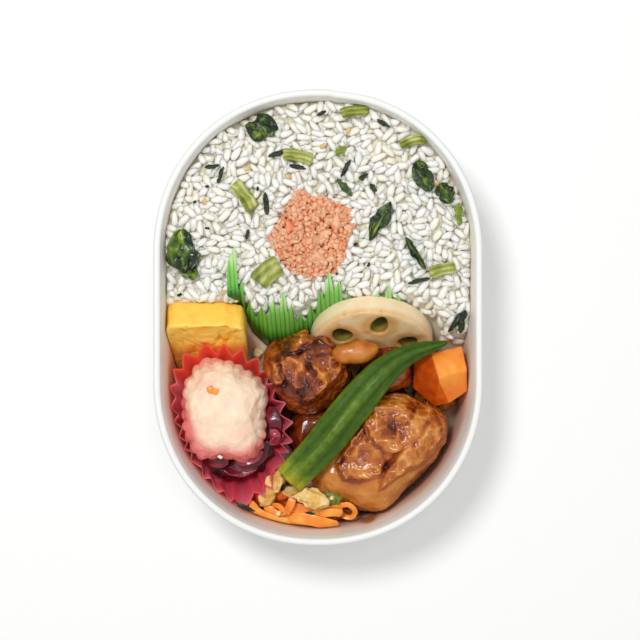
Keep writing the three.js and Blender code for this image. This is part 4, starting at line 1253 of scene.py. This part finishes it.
def makeSmallLump(name, piece, look, tone, spread, layers):
    points, faces = lump(**lumpSizes[name], level=5)
    points, relief = roughened(points, faces, layers)
    # painted light and shade: raised relief paler, low relief darker
    addPiece(piece, keepInside(clearOfOkra(points), 0.5), faces, looks[look], [name], tone + spread * relief)


for smallLump in smallLumps:
    makeSmallLump(*smallLump)
print("small pieces made:", len(smallLumps))


# Carrot chunk: flat cuts with soft edges

carrotSizes = {"bevel": 0.45, "voxel": 0.36, "core": (53, -20), "rings": (46, -24)}
carrotCorners = [
    (45.2, -14.2, 37), (57.8, -11.4, 35.4), (59.6, -20.8, 38.6), (48, -24.2, 43.4), (60, -29.6, 33.4),
    (53, -34.4, 33.6), (47.2, -36, 27.4), (38.4, -28.6, 27.6), (38.6, -18.2, 31.4), (56.4, -14, 20),
    (58.2, -28, 19), (47.4, -33.6, 18.2), (41, -27, 18), (43, -17, 19),
]


def makeCarrot():
    c = carrotSizes
    bm = bmesh.new()
    for corner in carrotCorners:
        bm.verts.new(corner)
    bmesh.ops.convex_hull(bm, input=bm.verts)
    bmesh.ops.bevel(bm, geom=bm.edges[:], offset=c["bevel"], segments=2, profile=0.6, affect="EDGES")
    bm.verts.index_update()
    points, faces = remeshed(*takenFrom(bm), c["voxel"])
    normals = normalsOf(points, faces)
    points, relief = roughened(points, faces, [("soft", 4, 0.1, 4)])
    core = np.exp(-((points[:, 0] - c["core"][0]) ** 2 + (points[:, 1] - c["core"][1]) ** 2) / 40)
    rings = np.cos(np.hypot(points[:, 0] - c["rings"][0], points[:, 1] - c["rings"][1]) * 1.5) * 0.02
    # painted shade: faces turned to the left are darker
    left = smooth(-normals[:, 0], 0.1, 0.6)
    tone = 0.6 + 0.22 * core * smooth(points[:, 2], 30, 36) + rings - 0.34 * left + 0.05 * relief
    points = keepInside(clearOfOkra(points), 0.5)
    addPiece("carrotChunk", points, faces, looks["carrot"], ["carrot_chunk"], tone)
    print("carrot chunk made:", len(points), "points")


makeCarrot()


# Pleated cup, with its salad and pickle

cupSizes = {
    "centre": (-36.4, -43.6), "radii": [26.8, 25.4, 29.6, 33, 34.6, 28, 24, 23, 25.6, 34, 32.4, 28], "foot": 0.58,
    "floor": 3.4, "rim": 32, "pleats": 25, "depth": 4.2, "film": 0.3, "perPleat": 14, "levels": 18,
}


def cupLoop(share):
    c = cupSizes
    count = c["pleats"] * c["perPleat"]
    angle = np.linspace(0, tau, count, endpoint=False)
    wobble = 0.55 * valueNoise(planPoints(np.cos(angle), np.sin(angle)), 0.3, 4)
    fold = np.abs(np.mod(angle / tau * c["pleats"] + wobble * share, 1) * 2 - 1)  # 0 on a ridge, 1 in a valley
    fold = smooth(fold, 0, 1) * 0.25 + fold * 0.75
    z = mix(c["floor"], c["rim"], share) + share ** 2 * (1.1 * np.sin(angle * 2 + 1) + 0.7 * (1 - fold)) * 0.8
    radius = radiusAt(c["radii"], angle) * mix(c["foot"], 1, share ** 1.5)
    pressed = smooth(-np.cos(angle - 0.35), 0.2, 0.8)
    depth = c["depth"] * mix(0.3, 1, share) * fold * (1 - 0.45 * pressed)
    out = radius - depth
    loop = np.stack([c["centre"][0] + np.cos(angle) * out, c["centre"][1] + np.sin(angle) * out, z], axis=1)
    return loop, fold


def pressedCup(loop, fold, share):
    # the cup gives way to the wall, its valleys a little more
    margin = 0.5 + cupSizes["depth"] * mix(0.3, 1, share) * fold * 0.5
    return keepInside(loop, margin)


def makeCup():
    c = cupSizes
    shares = np.linspace(0, 1, c["levels"])
    outside, inside, tones = [], [], []
    for s in shares:
        loop, fold = cupLoop(s)
        loop[:, 2] = np.maximum(loop[:, 2], c["floor"])
        outer = pressedCup(loop, fold, s)
        inner = outer + (np.array([*c["centre"], 0]) - outer) * [1, 1, 0] * c["film"] / 25
        outside.append(outer)
        inside.append(inner + [0, 0, c["film"] if s == 0 else 0.02])
        # painted light and shade: pleat ridges paler than the valleys, more so up towards the rim, and the film paler
        # upwards
        tones.append(0.46 + 0.14 * (1 - fold) * s + 0.08 * s)
    loops = np.array(outside + inside[::-1])
    points, faces = skin(loops)
    tone = np.concatenate([np.concatenate(tones + tones[::-1]), [0.3, 0.3]])
    x, y = points[:, 0] - c["centre"][0], points[:, 1] - c["centre"][1]
    pink = 0.24 * smooth(-x - 0.2 * y, 2, 24)  # painted light: paler where light shines through, and orange-red over the egg, as the egg's light through the film
    orange = 0.5 * smooth(y - 0.35 * np.abs(x), 8, 18)
    tone = tone + pink * (1 - orange) + orange
    addPiece("pleatedCup", points, faces, looks["cup"], ["pleated_cup"], tone)
    print("cup made")


makeCup()


saladBits = [  # x, y, length, width, turn and tone of two dice of carrot, then of a crumb
    (-42.6, -28.8, 3, 3.4, 20, 0.66), (-40.6, -29.4, 3, 2.8, -10, 0.74), (-39, -55.6, 2, 1.2, -30, 1),
]


def makeSalad():
    shape = lumpSizes["potato_salad"]
    points, faces = lump(**shape, level=7)
    x, y = points[:, 0] - shape["at"][0], points[:, 1] - shape["at"][1]
    angle = np.arctan2(y, x)
    share = np.hypot(x, y) / radiusAt(shape["radii"], angle)  # 0 in the middle, 1 at the outline
    fluted = np.abs(np.cos(angle * cupSizes["pleats"] / 2 + 0.8 * valueNoise(planPoints(x, y), 14, 6)))
    # the mark that the pleats press into its side
    flute = 0.98 + 0.05 * fluted * smooth(share, 0.8, 0.95) * (1 - smooth(points[:, 2], 43, 45))
    points = np.stack([points[:, 0] + x * (flute - 1), points[:, 1] + y * (flute - 1), points[:, 2]], axis=1)
    points, relief = roughened(points, faces, [("soft", 9, 1, 3), ("soft", 3.6, 0.3, 5), ("soft", 1.6, 0.14, 9)])
    low = smooth(-y - 0.5 * x, -6, 14)  # painted reflection of the red cup: pinker along the near and left edges
    band = smooth(share + 0.1 * relief, 0.9 - 0.34 * low, 1)
    # painted light and reflection: raised relief paler, the sides pinker with the cup's reflection
    tone = 0.74 + 0.16 * relief - band * (0.3 + 0.32 * low)
    unit, unitFaces = ball(3)
    parts = []
    for dx, dy, length, width, turn, bitTone in saladBits:
        near = np.hypot(points[:, 0] - dx, points[:, 1] - dy) < 1.6
        z = points[near, 2].max()
        p = signedPower(unit, 0.6) * [length / 2, width / 2, 1.1]
        px, py = turned(p[:, 0], p[:, 1], math.radians(turn), (dx, dy))
        p = np.stack([px, py, z - 0.8 + p[:, 2]], axis=1)
        parts.append((p + 0.12 * valueNoise(p, 1.2, 3)[:, None], unitFaces, bitTone))
    crumb = parts.pop()
    points, faces, tone = join([(points, faces, tone), crumb])
    addPiece("potatoSaladMound", points, faces, looks["salad"], ["potato_salad"], tone)
    p, f, t = join(parts)
    addPiece("saladCarrotDice", p, f, looks["carrot"], (), t)
    print("potato salad made")


makeSalad()

pickleShreds = [  # control points of each shred, its width and its tone
    ([(-20, -36, 31), (-17.5, -41, 33), (-18, -47, 31), (-21, -51, 27)], 5.5, 0.3),
    ([(-16.5, -40, 27), (-15.5, -46, 29), (-18, -52, 27)], 5, 0.55),
    ([(-19, -45, 34), (-16.5, -48, 34.5), (-19.5, -51.5, 33)], 3.4, 0.85),
    ([(-20, -50, 30), (-24, -56, 29), (-31, -60, 28), (-38, -60.5, 27)], 6.5, 0.25),
    ([(-24, -59, 27), (-31, -62.5, 28), (-39, -61, 28)], 4.5, 0.5),
    ([(-36, -58.5, 31), (-43, -58, 30), (-48, -55.5, 27)], 5, 0.3),
    ([(-22, -54, 32), (-27, -57.5, 33), (-33, -58.6, 32)], 3.2, 0.6),
    ([(-44, -60, 25), (-38, -63.5, 25), (-30, -64, 24)], 4, 0.15),
    ([(-18, -52, 24), (-22, -59, 23), (-28, -63, 22)], 6, 0.1),
]


def makePickle():
    parts = []
    for k, (controls, width, tone) in enumerate(pickleShreds):
        points, faces = sweep(controls, 40, flatSection(width, 1.2, 16, 0.2), roll=0.9 * math.sin(2.1 * k))
        points = points + 0.5 * valueNoise(points, 3, k)[:, None] * [0.4, 0.4, 1]
        parts.append((points, faces, tone + 0.25 * valueNoise(points, 3.5, k + 4)))
    points, faces, tone = join(parts)
    addPiece("purplePickleShreds", points, faces, looks["pickle"], ["purple_pickle"], tone)
    print("pickle made:", len(parts), "shreds")


makePickle()


# Carrot strips: a loose heap of flat strips at the near end

stripSizes = {"count": 60, "width": 3, "thickness": 0.9, "heapX": (-22, 11), "heapY": (-81, -71), "heapZ": (24, 5)}
shownStrips = [  # control points, width and tone of the strips on top
    ([(-27.5, -74, 29), (-24.5, -78.6, 28), (-17, -81.8, 28), (-7, -83.4, 28), (3, -83.6, 27)], 3.6, 0.8),
    ([(-9.5, -70.5, 34), (-11, -75, 34.5), (-13, -79, 31)], 3.4, 0.6),
    ([(-18.5, -76.2, 28), (-16, -76, 31), (-13.6, -78.4, 31), (-15.5, -79.6, 28.5)], 2.2, 0.65),
    ([(-12, -80.4, 30), (-4, -81.4, 31.4), (3, -83, 31.6), (8.4, -84.4, 30)], 5, 0.7),
    ([(-13, -76, 30), (-4, -77.6, 31.6), (4, -77.8, 31.4), (10, -77, 30)], 4.4, 0.62),
    ([(8, -76, 30), (12.5, -75.6, 31), (15, -78.4, 29), (13.4, -81, 27), (9, -80.4, 26)], 2.2, 0.7),
    ([(-17, -73, 26), (-12, -71.5, 28), (-8, -72.5, 30)], 3.6, 0.35),
    ([(0, -79.6, 31), (5, -78.4, 33), (10, -79, 31)], 3.6, 0.75),
    ([(-22, -76, 26), (-15, -80.4, 27.4), (-6, -81.6, 28.4)], 3.4, 0.72),
]


def makeStrips():
    rng = np.random.default_rng(21)
    s = stripSizes
    parts = []
    for controls, width, tone in shownStrips:
        parts.append((*sweep(controls, 34, flatSection(width, s["thickness"], 12, 0.08), roll=0.5), tone))
    for _ in range(s["count"]):
        depth = rng.uniform(0, 1)
        x, y = rng.uniform(*s["heapX"]), rng.uniform(*s["heapY"])
        z = mix(*s["heapZ"], depth)
        turn, length = rng.normal(0, 0.45), rng.uniform(9, 17)
        bend = rng.normal(0, 2.2)
        dx, dy = math.cos(turn) * length / 2, math.sin(turn) * length / 2
        controls = [(x - dx, y - dy, z), (x - dx / 3 - bend * dy / length, y - dy / 3 + bend, z + rng.normal(0, 1)),
                    (x + dx, y + dy, z + rng.normal(0, 1.5))]
        section = flatSection(s["width"] * rng.uniform(0.6, 1.3), s["thickness"], 8)
        parts.append((*sweep(controls, 16, section, roll=rng.normal(0, 0.9)), 0.35 + 0.3 * rng.uniform()))
    points, faces, tone = join(parts)
    points = keepInside(points, 0.6)
    tone = tone + 0.06 + 0.1 * valueNoise(points, 3, 2)
    addPiece("carrotStrips", points, faces, looks["carrot"], ["carrot_strips"], tone)
    print("carrot strips made:", len(parts))


makeStrips()

paleCrumbs = [(-24.6, -14.6, 12.4, 1.7), (5.5, -72.4, 34, 0.9), (-16, -79, 31.6, 1)]  # x, y, z, size


def makeCrumbs():
    shapes, crumbFaces = crumbShapes(len(paleCrumbs))
    parts = []
    for shape, (x, y, z, size) in zip(shapes, paleCrumbs):
        parts.append((shape * [size, size * 0.8, size * 0.7] + [x, y, z], crumbFaces, 0.95))
    points, faces, tone = join(parts)
    addPiece("paleCrumbs", points, faces, looks["tofu"], (), tone)


makeCrumbs()

darkShreds = [  # control points and width of the dark shreds among the strips
    ([(-16, -66.5, 27), (-14, -68.5, 28), (-12, -68, 28)], 3.2),
    ([(-33.4, -73.8, 37.5), (-29.4, -76, 37), (-25, -77.6, 35.5)], 2.4),
    ([(-5, -78.4, 32.2), (-3, -79, 32.6), (-1, -78.9, 32.2)], 1.2),
    ([(-20, -74.5, 25), (-17, -72, 26), (-13.5, -70.5, 27)], 1.8),
]


def makeShreds():
    parts = [(*sweep(controls, 20, flatSection(width, 0.7, 10, 0.3), roll=1), 0.12) for controls, width in darkShreds]
    points, faces, tone = join(parts)
    points = keepInside(points + 0.3 * valueNoise(points, 1.5, 3)[:, None], 0.5)
    addPiece("darkShreds", points, faces, looks["leaf"], (), tone + 0.2 * valueNoise(points, 2, 5))


makeShreds()


# Sauce: a thin dark pool on the floor between the pieces, which also stands in for the shade in the gaps

sauceSizes = {  # radii of the outline, and the share of them at each height
    "at": (13, -44), "radii": [30, 27, 26, 30, 33, 34, 30, 26, 24, 22, 24, 28],
    "levels": [(0.5, 3.4), (1.0, 3.4), (0.985, 4.4), (0.9, 5.2), (0.5, 5.4)],
}


def makeSauce():
    s = sauceSizes
    a = np.linspace(0, tau, 120, endpoint=False)
    loops = []
    for share, z in s["levels"]:
        r = radiusAt(s["radii"], a) * share
        loops.append(np.stack([s["at"][0] + np.cos(a) * r, s["at"][1] + np.sin(a) * r, np.full(len(a), z)], axis=1))
    points, faces = skin(loops)
    tone = 0.5 + 0.3 * valueNoise(points, 8, 2)
    addPiece("saucePoolAndShade", keepInside(points, 0.5), faces, looks["sauce"], (), tone)
    print("sauce made")


makeSauce()


# Floor, lights and camera

studio = {
    "floor": 3, "floorColour": "f6f6f5", "floorRoughness": 0.9, "world": 0.6,
    "cameraDistance": 750, "viewWidth": 251.8, "sensor": 36, "aim": (0.8, -1.0),
}
lights = [  # name, place in metres, size in metres, watts
    ("keyLight", (-0.24, 0.3, 1.05), 0.26, 5.5), ("fillLight", (0.6, -0.5, 0.8), 0.9, 0.8),
    ("topLight", (0.15, 0.2, 1.4), 0.2, 1),
]


def makeStudio():
    s = studio
    half = s["floor"] / 2
    mesh = bpy.data.meshes.new("floor")
    mesh.from_pydata([(-half, -half, 0), (half, -half, 0), (half, half, 0), (-half, half, 0)], [], [(0, 1, 2, 3)])
    floor = bpy.data.objects.new("floor", mesh)
    bpy.context.scene.collection.objects.link(floor)
    paint = bpy.data.materials.new("paleFloor")
    paint.use_nodes = True
    coating = paint.node_tree.nodes["Principled BSDF"]
    coating.inputs["Base Color"].default_value = colour(s["floorColour"])
    coating.inputs["Roughness"].default_value = s["floorRoughness"]
    mesh.materials.append(paint)
    for name, place, size, power in lights:
        lamp = bpy.data.lights.new(name, "AREA")
        lamp.shape, lamp.size, lamp.energy = "DISK", size, power
        holder = bpy.data.objects.new(name, lamp)
        holder.location = place
        direction = -holder.location
        holder.rotation_euler = direction.to_track_quat("-Z", "Y").to_euler()
        bpy.context.scene.collection.objects.link(holder)
    world = bpy.data.worlds.new("studioWorld")
    bpy.context.scene.world = world
    world.use_nodes = True
    background = world.node_tree.nodes["Background"]
    background.inputs["Color"].default_value = (1, 1, 1, 1)
    background.inputs["Strength"].default_value = s["world"]
    camera = bpy.data.cameras.new("camera")
    camera.sensor_width = s["sensor"]
    camera.lens = s["sensor"] * s["cameraDistance"] / s["viewWidth"]
    camera.clip_start, camera.clip_end = 0.01, 10
    holder = bpy.data.objects.new("camera", camera)
    rim = boxSizes["height"]
    holder.location = (s["aim"][0] * mm, s["aim"][1] * mm, (rim + s["cameraDistance"]) * mm)
    bpy.context.scene.collection.objects.link(holder)
    bpy.context.scene.camera = holder
    bpy.context.scene.view_settings.view_transform = "Standard"


makeStudio()
print("studio made")
